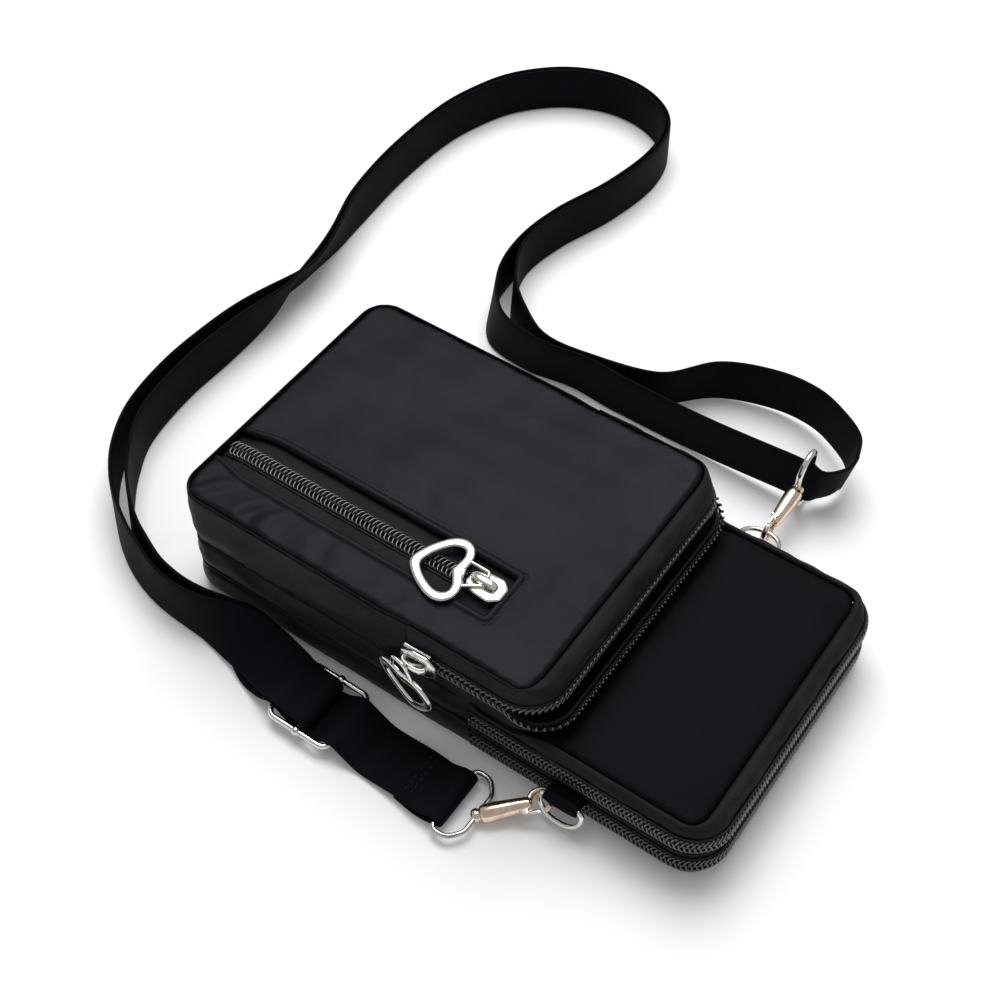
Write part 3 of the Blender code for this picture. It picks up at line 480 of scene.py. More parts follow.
def thread_twist(start, here, flat):
    """Sewing thread: two plies twisted round each other."""
    fuzz = here.noise(3000, 2)
    return {"base_color": fuzz.blend((0.006, 0.006, 0.008, 1), (0.018, 0.018, 0.021, 1)),
            "normal": bump(start, fuzz, 0.00006)}


thread = finish("black sewing thread", thread_twist, roughness=0.55, specular_ior_level=0.18)


# %% [markdown]
# ### Plastic and metal
# The zip's teeth are one long coil of glossy black nylon. The fittings are nickel plated, so
# they mirror the room, and faint smears and scratches keep them from looking like new glass. The
# hook bodies are a warmer cast metal. The left strap eye is the same plated wire, but darker: that
# is painted shade and a painted reflection of the dark strap beside it.


# %% Hard finishes
def moulded(start, here, flat):
    """Smooth plastic whose gloss varies a little."""
    cloud = here.noise(500, 3).within(0.3, 0.7)
    return {"base_color": cloud.blend((0.008, 0.008, 0.010, 1), (0.016, 0.016, 0.019, 1)),
            "roughness": cloud * 0.10 + 0.12}


coil_plastic = finish("zip coil plastic", moulded, specular_ior_level=0.9)


def plated(colour, shadow, rough):
    """A polished plate: smears in the gloss, and fine scratches in the surface."""
    def build(start, here, flat):
        smear = here.noise(260, 4).within(0.35, 0.7)
        scratch = here.noise(1500, 2, stretch=(1.0, 6.0, 1.0))
        return {"base_color": smear.blend((*colour, 1), (*shadow, 1)),
                "roughness": smear * 0.12 + rough, "normal": bump(start, scratch, 0.000006)}
    return build


nickel = finish("polished nickel", plated((0.81, 0.80, 0.76), (0.62, 0.61, 0.57), 0.10), metallic=1.0)
cast_metal = finish("warm cast metal", plated((0.86, 0.71, 0.57), (0.68, 0.52, 0.40), 0.16), metallic=1.0)
# The left eye's wire is darker only as painted shade and a painted reflection of the dark strap.
shaded_wire = finish("wire darkened for painted shade", plated((0.52, 0.50, 0.48), (0.26, 0.25, 0.25), 0.14), metallic=1.0)
print("finishes", [made.name for made in bpy.data.materials])

# %% [markdown]
# ## Hooks, eyes and their places
# The strap's route depends on where its fittings are, so these come first. Each hook runs from a
# strap eye's swivel to the wire of a side ring. The left hook lies down beside the pouch and the
# right one leans up from a ring that stands out to the side.

# %% Places of the hooks
left_drop = turn("Y", -12.0)[:3, :3] @ (0, -ring_width / 2, -ring_depth * 0.47)
left_bow = np.array((ring_out, tab_y, ring_z)) + left_drop + (0.0002, 0.0006, 0)
left_swivel = np.array((half_width + 0.0195, tab_y - 0.0217, 0.0034))
left_swivel = left_bow + unit(left_swivel - left_bow) * hook_reach
swing = math.radians(80.0)
right_bow = np.array((-ring_out - ring_depth * math.sin(swing) - 0.0009, tab_y,
                      ring_z - ring_depth * math.cos(swing) + 0.0004))
strap_raised = strap_width / 2 + wire_gap + eye_wire + gap
away = math.sqrt(hook_reach ** 2 - (strap_raised - right_bow[2]) ** 2)
right_swivel = np.array((right_bow[0] - away, right_bow[1], strap_raised))
left_hook_at = frame_at(left_swivel, left_bow - left_swivel, (0, 0, -1))
right_hook_at = frame_at(right_swivel, right_bow - right_swivel, (0, -1, 0))
left_eye_at = frame_at(left_swivel, (0, 1, 0), (0, 0, 1))
right_eye_at = frame_at(right_swivel, (1, 0, 0), (0, 1, 0))
print("swivels", np.round(left_swivel, 4), np.round(right_swivel, 4))

# %% [markdown]
# ## Strap
# The strap is one long piece of flat webbing, 20 mm wide. It starts sewn round the left eye,
# threads the tri-glide, goes round the pouch and loops through the right eye, and then comes back
# beside itself to the tri-glide's middle bar. It lies on its edge for most of its length. Beside
# the pouch the two strands lie together, behind it they change sides, and near the right eye they
# part. A cloth simulation would not keep them on their edges, so each middle line is a smooth
# curve through measured points, each with a roll angle: 90 is standing and 180 is flat. Their Y
# is measured from the pouch's bottom end.

# %% Route through the left fittings
layer = strap_thick / 2
edge = strap_width / 2 + gap
flat_z = layer + gap
bar_y = left_swivel[1] - bottom_y - eye_depth
eye_turn = eye_wire / 2 + gap + layer
eye_x, eye_z = left_swivel[0], left_swivel[2]
eye_low, eye_high = eye_z - eye_turn, eye_z + eye_turn
over = glide_height + glide_wire / 2 + gap * 2 + layer
sewn = [(0.0722, bar_y - 0.0150, flat_z, 180), (0.0732, bar_y - 0.0070, flat_z + 0.0001, 180),
        (eye_x, bar_y - 0.0010, eye_low, 180),
        (eye_x, bar_y + eye_turn * 0.72, eye_z - eye_turn * 0.70, 180),
        (eye_x, bar_y + eye_turn, eye_z, 180),
        (eye_x, bar_y + eye_turn * 0.72, eye_z + eye_turn * 0.70, 180),
        (eye_x, bar_y - 0.0010, eye_high, 180), (0.0733, bar_y - 0.0070, eye_high - 0.0012, 180),
        (0.0724, bar_y - 0.0150, flat_z + strap_thick + 0.0008, 180)]
near, far = glide_at + glide_length / 2, glide_at - glide_length / 2
through = [(0.0718, near + 0.0130, flat_z + 0.0004, 180), (0.0716, near + 0.0060, over - 0.0028, 180),
           (0.0714, near, over, 180), (0.0712, glide_at + 0.0055, flat_z + 0.0016, 180),
           (glide_x, glide_at, flat_z, 180), (0.0707, glide_at - 0.0055, flat_z + 0.0016, 180),
           (0.0703, far, over, 180), (0.0697, far - 0.0060, over - 0.0028, 180),
           (0.0680, far - 0.0130, 0.0027, 171)]
print("strap's bar at", np.round([eye_x, bar_y + bottom_y, eye_z], 4))

# %% Route round the pouch
def beside(line, offset):
    """The middle line of the pair moved to its left by the offset, as a strand on its edge."""
    line = np.array(line)
    along = unit(np.gradient(line, axis=0))
    left = np.stack([-along[:, 1], along[:, 0]], axis=1)
    return [(x, y, edge, 90) for x, y in line + left * offset]


turning = [(0.0655, 0.0380, 0.0052, 153), (0.0650, 0.0315, 0.0077, 134),
           (0.0656, 0.0250, 0.0096, 114), (0.0662, 0.0180, edge, 102), (0.0662, 0.0100, edge, 97)]
inner = [(0.0654, 0.0020, edge, 96), (0.0640, -0.0050, edge, 97), (0.0610, -0.0135, edge, 100),
         (0.0568, -0.0222, edge, 100), (0.0505, -0.0308, edge, 98), (0.0420, -0.0395, edge, 94),
         (0.0310, -0.0478, edge, 92), (0.0160, -0.0552, edge, 90), (-0.0080, -0.0585, edge, 90),
         (-0.0320, -0.0580, edge, 90), (-0.0600, -0.0572, edge, 90)]
pair = [(-0.0800, -0.0600), (-0.1000, -0.0620), (-0.1210, -0.0660), (-0.1500, -0.0690),
        (-0.1800, -0.0685), (-0.2000, -0.0645), (-0.2190, -0.0560), (-0.2350, -0.0400),
        (-0.2430, -0.0200), (-0.2410, 0.0000), (-0.2300, 0.0150), (-0.2100, 0.0205),
        (-0.1830, 0.0170), (-0.1570, 0.0090), (-0.1350, 0.0065), (-0.1150, 0.0120),
        (-0.1010, 0.0230), (-0.0945, 0.0400), (-0.0960, 0.0600)]
most_apart, apart_at = 0.0042, 15.7
apart = most_apart * np.exp(-(np.arange(len(pair)) - apart_at) ** 2)
spacing = (layer + gap + apart)[:, None]
outer = [(-0.0600, -0.0612, edge, 90), (-0.0300, -0.0635, edge, 90), (-0.0050, -0.0640, edge, 90),
         (0.0180, -0.0605, edge, 91), (0.0350, -0.0525, edge, 92), (0.0470, -0.0425, edge, 94),
         (0.0550, -0.0325, edge, 98), (0.0610, -0.0225, edge, 100), (0.0650, -0.0132, edge, 100),
         (0.0678, -0.0045, edge, 97)]
print("strands apart, mm", np.round([2000 * spacing.min(), 2000 * spacing.max()], 1))

# %% Route through the right eye and back to the middle bar
rise = strap_raised - edge
bar_x, bar_at = right_swivel[0] - eye_depth, right_swivel[1] - bottom_y
inside_x = bar_x + eye_wire / 2 + gap + 0.0020 + layer
outer_turn = [(-0.1040, 0.0870, edge, 90), (-0.1210, 0.1040, edge, 90),
              (-0.1280, 0.1240, edge + rise * 0.3, 90), (-0.1275, 0.1410, edge + rise * 0.7, 90),
              (-0.1215, bar_at, strap_raised, 90), (-0.1150, bar_at + 0.0085, strap_raised, 90),
              (bar_x - 0.0075, bar_at + 0.0112, strap_raised, 90)]
back_turn = [(bar_x - 0.0018, bar_at + 0.0098, strap_raised, 90),
             (inside_x - 0.0006, bar_at + 0.0050, strap_raised, 90),
             (inside_x, bar_at, strap_raised, 90), (inside_x, 0.1450, edge + rise * 0.8, 90),
             (-0.0940, 0.1190, edge + rise * 0.2, 90), (-0.0940, 0.0980, edge, 90),
             (-0.0942, 0.0780, edge, 90)]
second = over + strap_thick + gap * 2
bar_turn = glide_wire / 2 + gap + layer
laid = [(0.0691, 0.0040, edge, 96), (0.0694, 0.0120, edge, 97), (0.0688, 0.0205, 0.0104, 105),
        (0.0674, 0.0285, 0.0096, 124), (0.0664, 0.0360, 0.0080, 145), (0.0668, 0.0430, 0.0070, 160),
        (0.0685, 0.0505, 0.0078, 172), (0.0702, far, second + 0.0002, 180),
        (0.0706, glide_at - 0.0050, over + 0.0007, 180), (glide_x, glide_at - 0.0002, over, 180),
        (glide_x, glide_at + bar_turn * 0.75, glide_height + bar_turn * 0.68, 180),
        (glide_x, glide_at + bar_turn, glide_height, 180),
        (glide_x, glide_at + bar_turn * 0.75, glide_height - bar_turn * 0.68, 180),
        (glide_x, glide_at - 0.0002, glide_height - bar_turn, 180),
        (0.0708, glide_at - 0.0035, glide_height - 0.0010, 180),
        (0.0706, glide_at - 0.0068, glide_height + 0.0012, 180)]
main_points = sewn + through + turning + inner + beside(pair, spacing) + outer_turn
return_points = outer_turn[-1:] + back_turn + beside(pair, -spacing)[::-1] + outer + laid
print("route points", len(main_points), len(return_points))


# %% Webbing along the route
cross_x, cross_reach, cross_lean = -0.078, 0.028, 0.55


def webbing_run(name, points, node):
    """Webbing: a flat section with round edges, carried along the route and rolled with it.

    Across is (cos roll, lean, sin roll) made square to the line. Where the strands cross behind
    the pouch they lean, and the middle line sinks so that the lower edge stays on the table.
    """
    route = evenly(curve_through(points, 10), 0.0012)
    route[:, 1] += bottom_y
    places, roll = route[:, :3].copy(), np.radians(route[:, 3:])
    along = unit(np.gradient(places, axis=0))
    lean = cross_lean * np.exp(-((places[:, :1] - cross_x) / cross_reach) ** 2)
    across = np.hstack([np.cos(roll), lean, np.sin(roll)])
    across = unit(across - along * np.sum(across * along, axis=1, keepdims=True))
    places[:, 2:] -= strap_width / 2 * (1 - across[:, 2:]) * smooth(lean, 0.02, 0.2)
    out = np.cross(along, across)
    half, thick = strap_width / 2, layer
    sides = rounded([(-half, -thick), (half, -thick), (half, thick), (-half, thick)],
                    [thick * 0.98] * 4, 4)
    sides = np.vstack([sides, sides[:1]])
    flat = np.concatenate([evenly(sides[k:k + 2], 0.0025)[:-1] for k in range(len(sides) - 1)])
    flat = np.vstack([flat, flat[:1]])
    swell = 1 - 0.18 * (flat[:, :1] / half) ** 8 * (np.abs(flat[:, 1:]) > thick * 0.9)
    flat = flat * np.hstack([np.ones_like(swell), swell])
    grid = places[:, None] + across[:, None] * flat[None, :, :1] + out[:, None] * flat[None, :, 1:]
    grid = np.concatenate([np.repeat(places[:1, None], len(flat), axis=1), grid,
                           np.repeat(places[-1:, None], len(flat), axis=1)])
    run = run_length(places)
    run = np.concatenate([run[:1], run, run[-1:]])
    girth = run_length(flat)
    uv = np.stack(np.meshgrid(run, girth, indexing="ij"), axis=-1)
    made = piece(name, [sheet(grid, uv=uv)], webbing, stands_for=(node,), crease=50)
    return made, places, run[-1]


runs = [webbing_run("strap_long_run", main_points, "strap_main"),
        webbing_run("strap_return_run", return_points, "strap_return")]
for strand, line, length in runs:
    line[::4].tolist() + [line[-1].tolist()]
    print(strand.name, "length", round(float(length), 3))
main_line = runs[0][1]

# %% [markdown]
# ## The pouch's outline
# Both tiers are rounded rectangles seen from above. A wall is a section carried round one end of
# that outline, like a U, so the path keeps its points, the way out of the pouch at each, and how
# far along it they are. Panels are grids whose corner squares are squeezed into quarter circles.


# %% Outline helpers
def end_path(y_start, y_end, radius, spacing=0.0016):
    """A U round one end of the pouch: points, outward directions and the distance along it."""
    side = 1 if y_end > y_start else -1
    inner_x, corner_y = half_width - radius, y_end - side * radius
    angle = np.linspace(0, np.pi / 2, 14)
    corner = radius * np.stack([np.cos(angle), side * np.sin(angle)], axis=1)
    first = corner + (inner_x, corner_y)
    second = corner[::-1] * (-1, 1) + (-inner_x, corner_y)
    line = np.vstack([(half_width, y_start), first, second, (-half_width, y_start)])
    spans = [evenly(line[k:k + 2], spacing)[:-1] for k in (0, 14, 28)]
    points = np.vstack([spans[0], first[:-1], spans[1], second[:-1], spans[2], line[-1:]])
    low, high = corner_y * side, points[:, 1] * side
    centre = np.stack([np.clip(points[:, 0], -inner_x, inner_x),
                       side * np.minimum(high, low)], axis=1)
    outward = unit(points - centre)
    return points, outward, run_length(points)


def carried(path, profile):
    """A section of (outward, up) points carried along a path."""
    points, outward, _ = path
    profile = np.broadcast_to(profile, (len(points), *np.shape(profile)[-2:]))
    flat = points[:, None] + outward[:, None] * profile[..., :1]
    return np.concatenate([flat, profile[..., 1:]], axis=2)


def ripple(a, b, pitch, phase):
    """Soft uneven folds: four sines of different directions and lengths, about -1 to 1."""
    total = 0
    for way, size, weight in ((0.3, 1.0, 1.0), (1.9, 0.61, 0.6), (2.7, 1.43, 0.8), (4.0, 0.39, 0.3)):
        heading = way + phase
        run = a * math.cos(heading) + b * math.sin(heading)
        total = total + weight * np.sin(2 * np.pi * run / (pitch * size) + 5 * heading)
    return total / 2


def quarter(distance, width, drop):
    """How far a turned edge falls: a quarter of an oval, from nothing at width to drop at 0."""
    t = np.clip(1 - distance / width, 0, 1)
    return -drop * (1 - np.sqrt(1 - t * t))


def lines(low, high, step, fine=(), fine_step=0.0004, reach=0.0030):
    """Grid lines a step apart, with finer ones on both sides of each named place."""
    even = np.linspace(low, high, math.ceil((high - low) / step) + 1)
    near = [place + np.arange(-reach, reach + fine_step / 2, fine_step) for place in fine]
    every = np.concatenate([even, *near]) if near else even
    every = np.unique(np.round(every[(every >= low) & (every <= high)], 6))
    wanted = np.concatenate([[True], np.diff(every) > fine_step * 0.45])
    return every[wanted]


# %% [markdown]
# ### Panels
# A panel follows the outline with rounded corners of its own. Each of its points also knows how
# far it is from the seam, because that decides where the cloth rolls down and where it puckers.


# %% Panel helpers
def panel_grid(x, y, half, y_low, y_high, low_corner, high_corner=None, power=2.0):
    """A grid inside an outline with oval corners, and each point's distance from it.

    A corner is its size across and along. In its box, (u, v) from 0 to 1 is scaled by
    max(u, v) / (u^p + v^p)^(1/p), which takes the box's two outer sides onto an oval quarter.
    """
    x, y = np.meshgrid(x, y)
    up = y > (y_low + y_high) / 2
    side = np.where(up, 1, -1)
    corners = zip(low_corner, high_corner or low_corner)
    wide, deep = (np.where(up, high, low) for low, high in corners)
    centre_x, centre_y = half - wide, np.where(up, y_high - deep, y_low + deep)
    u = np.clip((np.abs(x) - centre_x) / wide, 0, 1)
    v = np.clip((y - centre_y) * side / deep, 0, 1)
    scale = np.maximum(u, v) / np.maximum((u ** power + v ** power) ** (1 / power), 1e-9)
    x = np.where(u > 0, np.sign(x) * (centre_x + wide * u * scale), x)
    y = np.where(v > 0, centre_y + side * deep * v * scale, y)
    beyond_x, beyond_y = (np.abs(x) - centre_x) / wide, (y - centre_y) * side / deep
    a, b = np.maximum(beyond_x, 0), np.maximum(beyond_y, 0)
    share = a * a / np.maximum(a * a + b * b, 1e-9)
    size = wide * share + deep * (1 - share)
    rounded_off = (1 - (a ** power + b ** power) ** (1 / power)) * size
    inner = np.minimum(wide * (1 - beyond_x), deep * (1 - beyond_y))
    return x, y, np.where((beyond_x > 0) | (beyond_y > 0), rounded_off, inner)


def seam_inset(path, radius, side, end, power=3.0):
    """How far a panel's seam is from the wall: side along the sides, end across the end, and
    r - ((cos / a)^p + (sin / b)^p)^(-1/p) round a corner, with a = r - side and b = r - end."""
    cos, sin = np.abs(path[1].T)
    total = (cos / (radius - side)) ** power + (sin / (radius - end)) ** power
    return radius - total ** (-1 / power)


def cloth_panel(name, grid, node, keep=None, look=nylon, inside=(0.0, 0.0, 0.020), wall=0.0009,
                crease=60):
    """A grid of points as one panel of the pouch's cloth, in place of a node."""
    piece(name, [sheet(grid, keep)], look, stands_for=(node,), inside=inside,
          wall=wall, crease=crease)


# %% [markdown]
# ## Top panel
# The panel is sewn to the walls with a turned seam, so it swells a little and rolls down at its
# edge. The pocket's zip lies in a window cut from its bottom edge, with folded lips and a line of
# stitches beside them. All of it is one height for each place on the panel: a low dome, soft
# folds, the roll at the seam, the puckers that the sewing pulls, and the lips of the window.

# %% Top panel's outline
side_seam, mouth_seam = 0.0014, 0.0061
window_edges = (pocket_x - pocket_half, pocket_x + pocket_half)
panel_half = half_width - side_seam
panel_x = lines(-panel_half, panel_half, 0.0010, (*window_edges, -panel_half, panel_half))
panel_low, panel_high = bottom_y + side_seam, upper_y - mouth_seam
panel_y = lines(panel_low, panel_high, 0.0010, (pocket_top_y, panel_low, panel_high))
print("top panel's grid", len(panel_x), "by", len(panel_y))


# %% Top panel's height
def window_distance(x, y):
    """Distance outside the pocket's window, which is open at the panel's bottom edge."""
    over_x, over_y = np.abs(x - pocket_x) - pocket_half, y - pocket_top_y
    outside = np.hypot(np.maximum(over_x, 0), np.maximum(over_y, 0))
    return outside + np.minimum(np.maximum(over_x, over_y), 0)


def narrowed(x, y):
    """x moved towards the zip at the bottom end, where the window is narrower."""
    off = x - pocket_x
    near_end = 1 - smooth(y, bottom_y + 0.002, bottom_y + 0.017)
    return x - 0.25 * off * near_end * (1 - smooth(np.abs(off), 0.011, 0.022))


def panel_height(x, y, seam, lip):
    """The top of the panel at x and y, at its distances from the seam and from the window."""
    length = (y - panel_low) / (panel_high - panel_low)
    dome = 0.0010 * (1 - (x / half_width) ** 2) * np.sin(np.pi * np.clip(length, 0, 1)) ** 0.6
    folds = 0.00055 * ripple(x, y, 0.058, 0.4) + 0.00020 * ripple(x, y, 0.023, 1.3)
    pulled = 0.00014 * np.sin(2 * np.pi * (x + y) / 0.0052 + 2 * np.sin(y / 0.011))
    pulled = pulled * np.exp(-seam / 0.0030)
    slant = y + 0.35 * x + 0.0030 * np.sin(x / 0.004 + y / 0.019)
    tucks = (0.00058 * np.sin(2 * np.pi * slant / 0.0127)
             + 0.00028 * np.sin(2 * np.pi * slant / 0.0083 + 1.1))
    tucks = (tucks * smooth(x, 0.036, 0.047) * smooth(-y, -0.006, 0.016)
             * (0.6 + 0.4 * np.sin(y / 0.017)))
    swell = 0.00045 * np.exp(-((lip - 0.0014) / 0.0010) ** 2)
    sewn_line = -0.00030 * np.exp(-((lip - 0.0031) / 0.00050) ** 2)
    settle = smooth(lip, 0.0, 0.014)
    return (bag_high + dome * (0.35 + 0.65 * settle) + folds * settle + pulled + tucks + swell
            + sewn_line + quarter(seam, 0.0024, 0.0019) + quarter(lip, 0.0011, 0.0013))


# %% Top panel
x, y, seam = panel_grid(panel_x, panel_y, panel_half, panel_low, panel_high,
                        [bottom_corner - side_seam] * 2,
                        (top_corner - side_seam, top_corner - mouth_seam), 3.0)
centre_x = (x[:-1, :-1] + x[1:, 1:]) / 2
centre_y = (y[:-1, :-1] + y[1:, 1:]) / 2
outside_window = window_distance(centre_x, centre_y) > 0
panel = np.stack([narrowed(x, y), y, panel_height(x, y, seam, window_distance(x, y))], axis=-1)
cloth_panel("top_panel", panel, "front_panel", outside_window, inside=(0.0, -0.029, 0.036))
print("top panel faces", made_pieces["top_panel"])

# %% [markdown]
# ## Walls
# A wall is a curve from seam to seam, carried round the pouch's bottom end. It swells between its
# two seams and sinks into a groove at each, and shallow waves lie along it, because nothing fills
# the pouch and keeps its cloth tight.


# %% Walls round the bottom end
def section(path, control, inset=0.0, steps=7):
    """A section for each station: out = belly - inset x share, where share is 0 on the upright
    part and grows to 1 at the seam, so one curve serves narrow and wide turned edges."""
    belly, share, up = curve_through(control, steps).T
    inset = np.broadcast_to(inset, len(path[0]))[:, None]
    return np.stack([belly - inset * share, up + 0 * inset], axis=-1)


def turned_edge(high):
    """Control points of an edge that rolls over inward to a seam a little below its top."""
    return [(-0.0001, 0.04, high - 0.0044), (0, 0.13, high - 0.0022), (0, 0.33, high - 0.0007),
            (0, 0.62, high + 0.0001), (0, 0.88, high - 0.0001), (0, 1.0, high - 0.0012)]


def along_path(path):
    """How far along a path each station is, and a factor from 0 at its two ends to 1 inside."""
    run = path[2][:, None]
    return run, smooth(np.minimum(run, run[-1] - run), 0.0, 0.012)


def wall_grid(path, profile, wave, phase):
    """A wall: a section carried along the path, with waves laid over its upright part. Towards
    its two ends it grows flat and sinks to the level of the zip tape that it is sewn to."""
    grid = carried(path, profile)
    run, inside = along_path(path)
    height = profile[..., 1]
    low, high = height.min(), height.max()
    free = np.sin(np.pi * np.clip((height - low) / (high - low), 0, 1)) ** 0.7
    upright = smooth(profile[..., 0], -0.0012, -0.0002) * inside
    grid[..., :2] -= path[1][:, None] * (0.0007 * (1 - inside))[..., None]
    push = wave * ripple(run, height * 1.6, 0.034, phase) * free * upright
    pucker = np.sin(2 * np.pi * run / 0.0061 + 3 * np.sin(run / 0.013))
    push = push + wave * 0.25 * pucker * upright * (1 - free) ** 2
    grid[..., :2] += path[1][:, None] * push[..., None]
    return grid


# %% Walls
lower_bottom = end_path(lower_split, bottom_y, bottom_corner)
lower_top = end_path(lower_split, top_y, top_corner)
upper_bottom = end_path(upper_split, bottom_y, bottom_corner)
upper_top = end_path(upper_split, upper_y, top_corner)
rear_control = [(-0.0010, 0, 0.0021), (-0.0002, 0, 0.0030), (0.0003, 0, 0.0062),
                (0.0002, 0, 0.0100), (-0.0003, 0, 0.0124), (-0.0010, 0, 0.0131)]
middle_control = [(-0.0010, 0, 0.0146), (-0.0003, 0, 0.0152), (0.0003, 0, 0.0182),
                  (0.0005, 0, 0.0215), (-0.0001, 0, 0.0258), (-0.0010, 0, 0.0269)]
front_control = [(-0.0011, 0, 0.0275), (-0.0003, 0, 0.0284), (0.0004, 0, 0.0322),
                 (0.0006, 0, 0.0380), (0.0001, 0, 0.0425), *turned_edge(bag_high)]
front_inset = side_seam - 0.0001
for name, path, control, inset, wave, phase in (
        ("rear", lower_bottom, rear_control, 0.0, 0.00045, 0.2),
        ("middle", lower_bottom, middle_control, 0.0, 0.00050, 1.1),
        ("front", upper_bottom, front_control, front_inset, 0.00085, 2.3)):
    grid = wall_grid(path, section(path, control, inset), wave, phase)
    cloth_panel(f"{name}_wall", grid, f"{name}_gusset")
print("wall faces", sum(v for k, v in made_pieces.items() if k.endswith("wall")))

# %% [markdown]
# ## Back, divider, step and lining
# The back lies on the table and only its edge turns up. The divider between the two closed
# compartments shows as a thin rolled edge all round. The step is the soft top of the lower tier,
# in front of the mouth, and its other end is the floor of the open compartment. The lining hangs
# under the pocket's zip and is the ceiling of that compartment.

# %% Back panel
back_half, back_end, back_corner = 0.0530, 0.1000, (0.0110, 0.0110)
x, y, seam = panel_grid(lines(-back_half, back_half, 0.0016, (-back_half, back_half)),
                        lines(-back_end, back_end, 0.0016, (-back_end, back_end)),
                        back_half, -back_end, back_end, back_corner)
height = 0.00005 - quarter(seam, 0.0026, 0.0021) + 0.00008 * (1 + ripple(x, y, 0.03, 0.7))
cloth_panel("back_panel_cloth", np.stack([x, y, height], axis=-1), "back_panel", wall=0.0010)
print("back from", np.round(height.min(), 4), "to", np.round(height.max(), 4))

# %% Divider
divider_z, edge_inset = 0.0138, 0.0009
x, y, seam = panel_grid(lines(-back_half, back_half, 0.0030), lines(-back_end, back_end, 0.0030),
                        back_half, -back_end, back_end, back_corner)
cloth_panel("divider_cloth", np.stack([x, y, divider_z + 0 * x], axis=-1), "rear_divider",
            inside=(0, 0, 0), wall=0.0006, crease=38)
lower_loop = np.vstack([lower_top[0], lower_bottom[0][::-1][1:-1]])
loop_out = np.vstack([lower_top[1], lower_bottom[1][::-1][1:-1]])
edge_line = np.hstack([lower_loop - loop_out * edge_inset, np.full((len(lower_loop), 1), divider_z)])
piece("divider_edge", [tube(edge_line, (0, 0, 1), 0.00075, 0.0010, closed=True)], nylon)
print("divider's edge is", round(float(run_length(edge_line)[-1]), 3), "long")

# %% Step panel
step_side, step_end = 0.0034, 0.0060
step_half, step_low, step_far = half_width - step_side, bottom_y + 0.003, top_y - step_end
x, y, seam = panel_grid(lines(-step_half, step_half, 0.0012, (-step_half, step_half)),
                        lines(step_low, step_far, 0.0012, (step_far,)), step_half,
                        step_low, step_far, (0.0070, 0.0070),
                        (top_corner - step_side, top_corner - step_end), 3.0)
shown = smooth(y, upper_y - 0.004, upper_y + 0.010)
soft = (0.0011 * (1 - np.exp(-seam / 0.006))
        + 0.00045 * ripple(x, y, 0.040, 3.1) * smooth(seam, 0, 0.01))
dip = -0.0009 * np.exp(-((y - upper_y - 0.001) / 0.004) ** 2)
pulled = 0.00014 * np.sin(2 * np.pi * (x - y) / 0.0050) * np.exp(-seam / 0.0028)
height = step_high - 0.0004 + (soft + pulled) * shown + dip + quarter(seam, 0.0020, 0.0015)
# The step wears the darker copy of the cloth, whose colour paints the shade that falls on it.
cloth_panel("step_panel_cloth", np.stack([x, y, height], axis=-1), "step_panel", look=shaded_matt_nylon,
            inside=(0, 0, 0))
print("step from", round(height.min(), 4), "to", round(height.max(), 4))

# %% Pocket lining
lining_half, lining_low, lining_high = 0.0470, -0.0940, 0.0354
x, y, seam = panel_grid(lines(-lining_half, lining_half, 0.0024),
                        lines(lining_low, lining_high, 0.0024),
                        lining_half, lining_low, lining_high, (0.0060, 0.0060))
sag = (0.0463 - 0.0030 * smooth(seam, 0.0, 0.010)
       + 0.0003 * ripple(x, y, 0.03, 0.9) * smooth(seam, 0, 0.01))
sag = sag - 0.0022 * np.exp(-((x - pocket_x) / 0.012) ** 2) * (1 - smooth(y, -0.092, -0.078))
cloth_panel("pocket_lining_cloth", np.stack([x, y, sag], axis=-1), "pocket_lining",
            inside=(0, -0.03, 0.30), wall=0.0006, crease=38)
print("lining down to", round(sag.min(), 4))

# %% [markdown]
# ## Zip tapes
# A tape runs from the coil to a seam. Beside the closed compartments it is a flat band on the
# wall. Where a panel ends at it, it curls over the edge like a soft lip. At the mouth the lower
# band leans out and sinks, and the upper one lifts, since that zip is open. The curled bands are
# a little slack, so shallow waves push them out and up between their two seams.


# %% Tape sections
def facing(path):
    """1 where a path faces the mouth end, 0 along the sides."""
    return np.clip(path[1][:, 1], 0, 1)[:, None]


zip_rise = front_zip_z - coil_far - step_high - gap


def mouth_sag(profile):
    """The open zip's lower band: it leans out and drops more with height."""
    profile = np.array(np.broadcast_to(profile, (len(upper_top[0]), *np.shape(profile)[-2:])))
    height = np.clip((profile[..., 1] - step_high - gap) / zip_rise, 0, 1)
    profile[..., 0] += mouth_lean * facing(upper_top) * height
    profile[..., 1] -= mouth_drop * facing(upper_top) * height
    return profile


def mouth_lift(profile):
    """The open zip's upper band: its free edge rises a little at the mouth."""
    profile = np.array(np.broadcast_to(profile, (len(upper_top[0]), *np.shape(profile)[-2:])))
    free = np.clip((bag_high - 0.0034 - profile[..., 1]) / 0.002, 0, 1)
    profile[..., 1] += mouth_rise * facing(upper_top) * free
    return profile


def curled(path, low, high, inset):
    """A band that rises from low and rolls over inward to a seam at high, for each station."""
    start = [(-0.0004, 0, low), (-0.0001, 0, (low + high) / 2 - 0.0012)]
    return section(path, start + turned_edge(high), inset, 5)


def straight(low, high):
    """A flat band from low to high, sunk into its seam at the low end."""
    return curve_through([(-0.0010, low), (-0.0004, low + 0.0007), (-0.0002, (low + high) / 2),
                          (-0.0004, high)], 5)


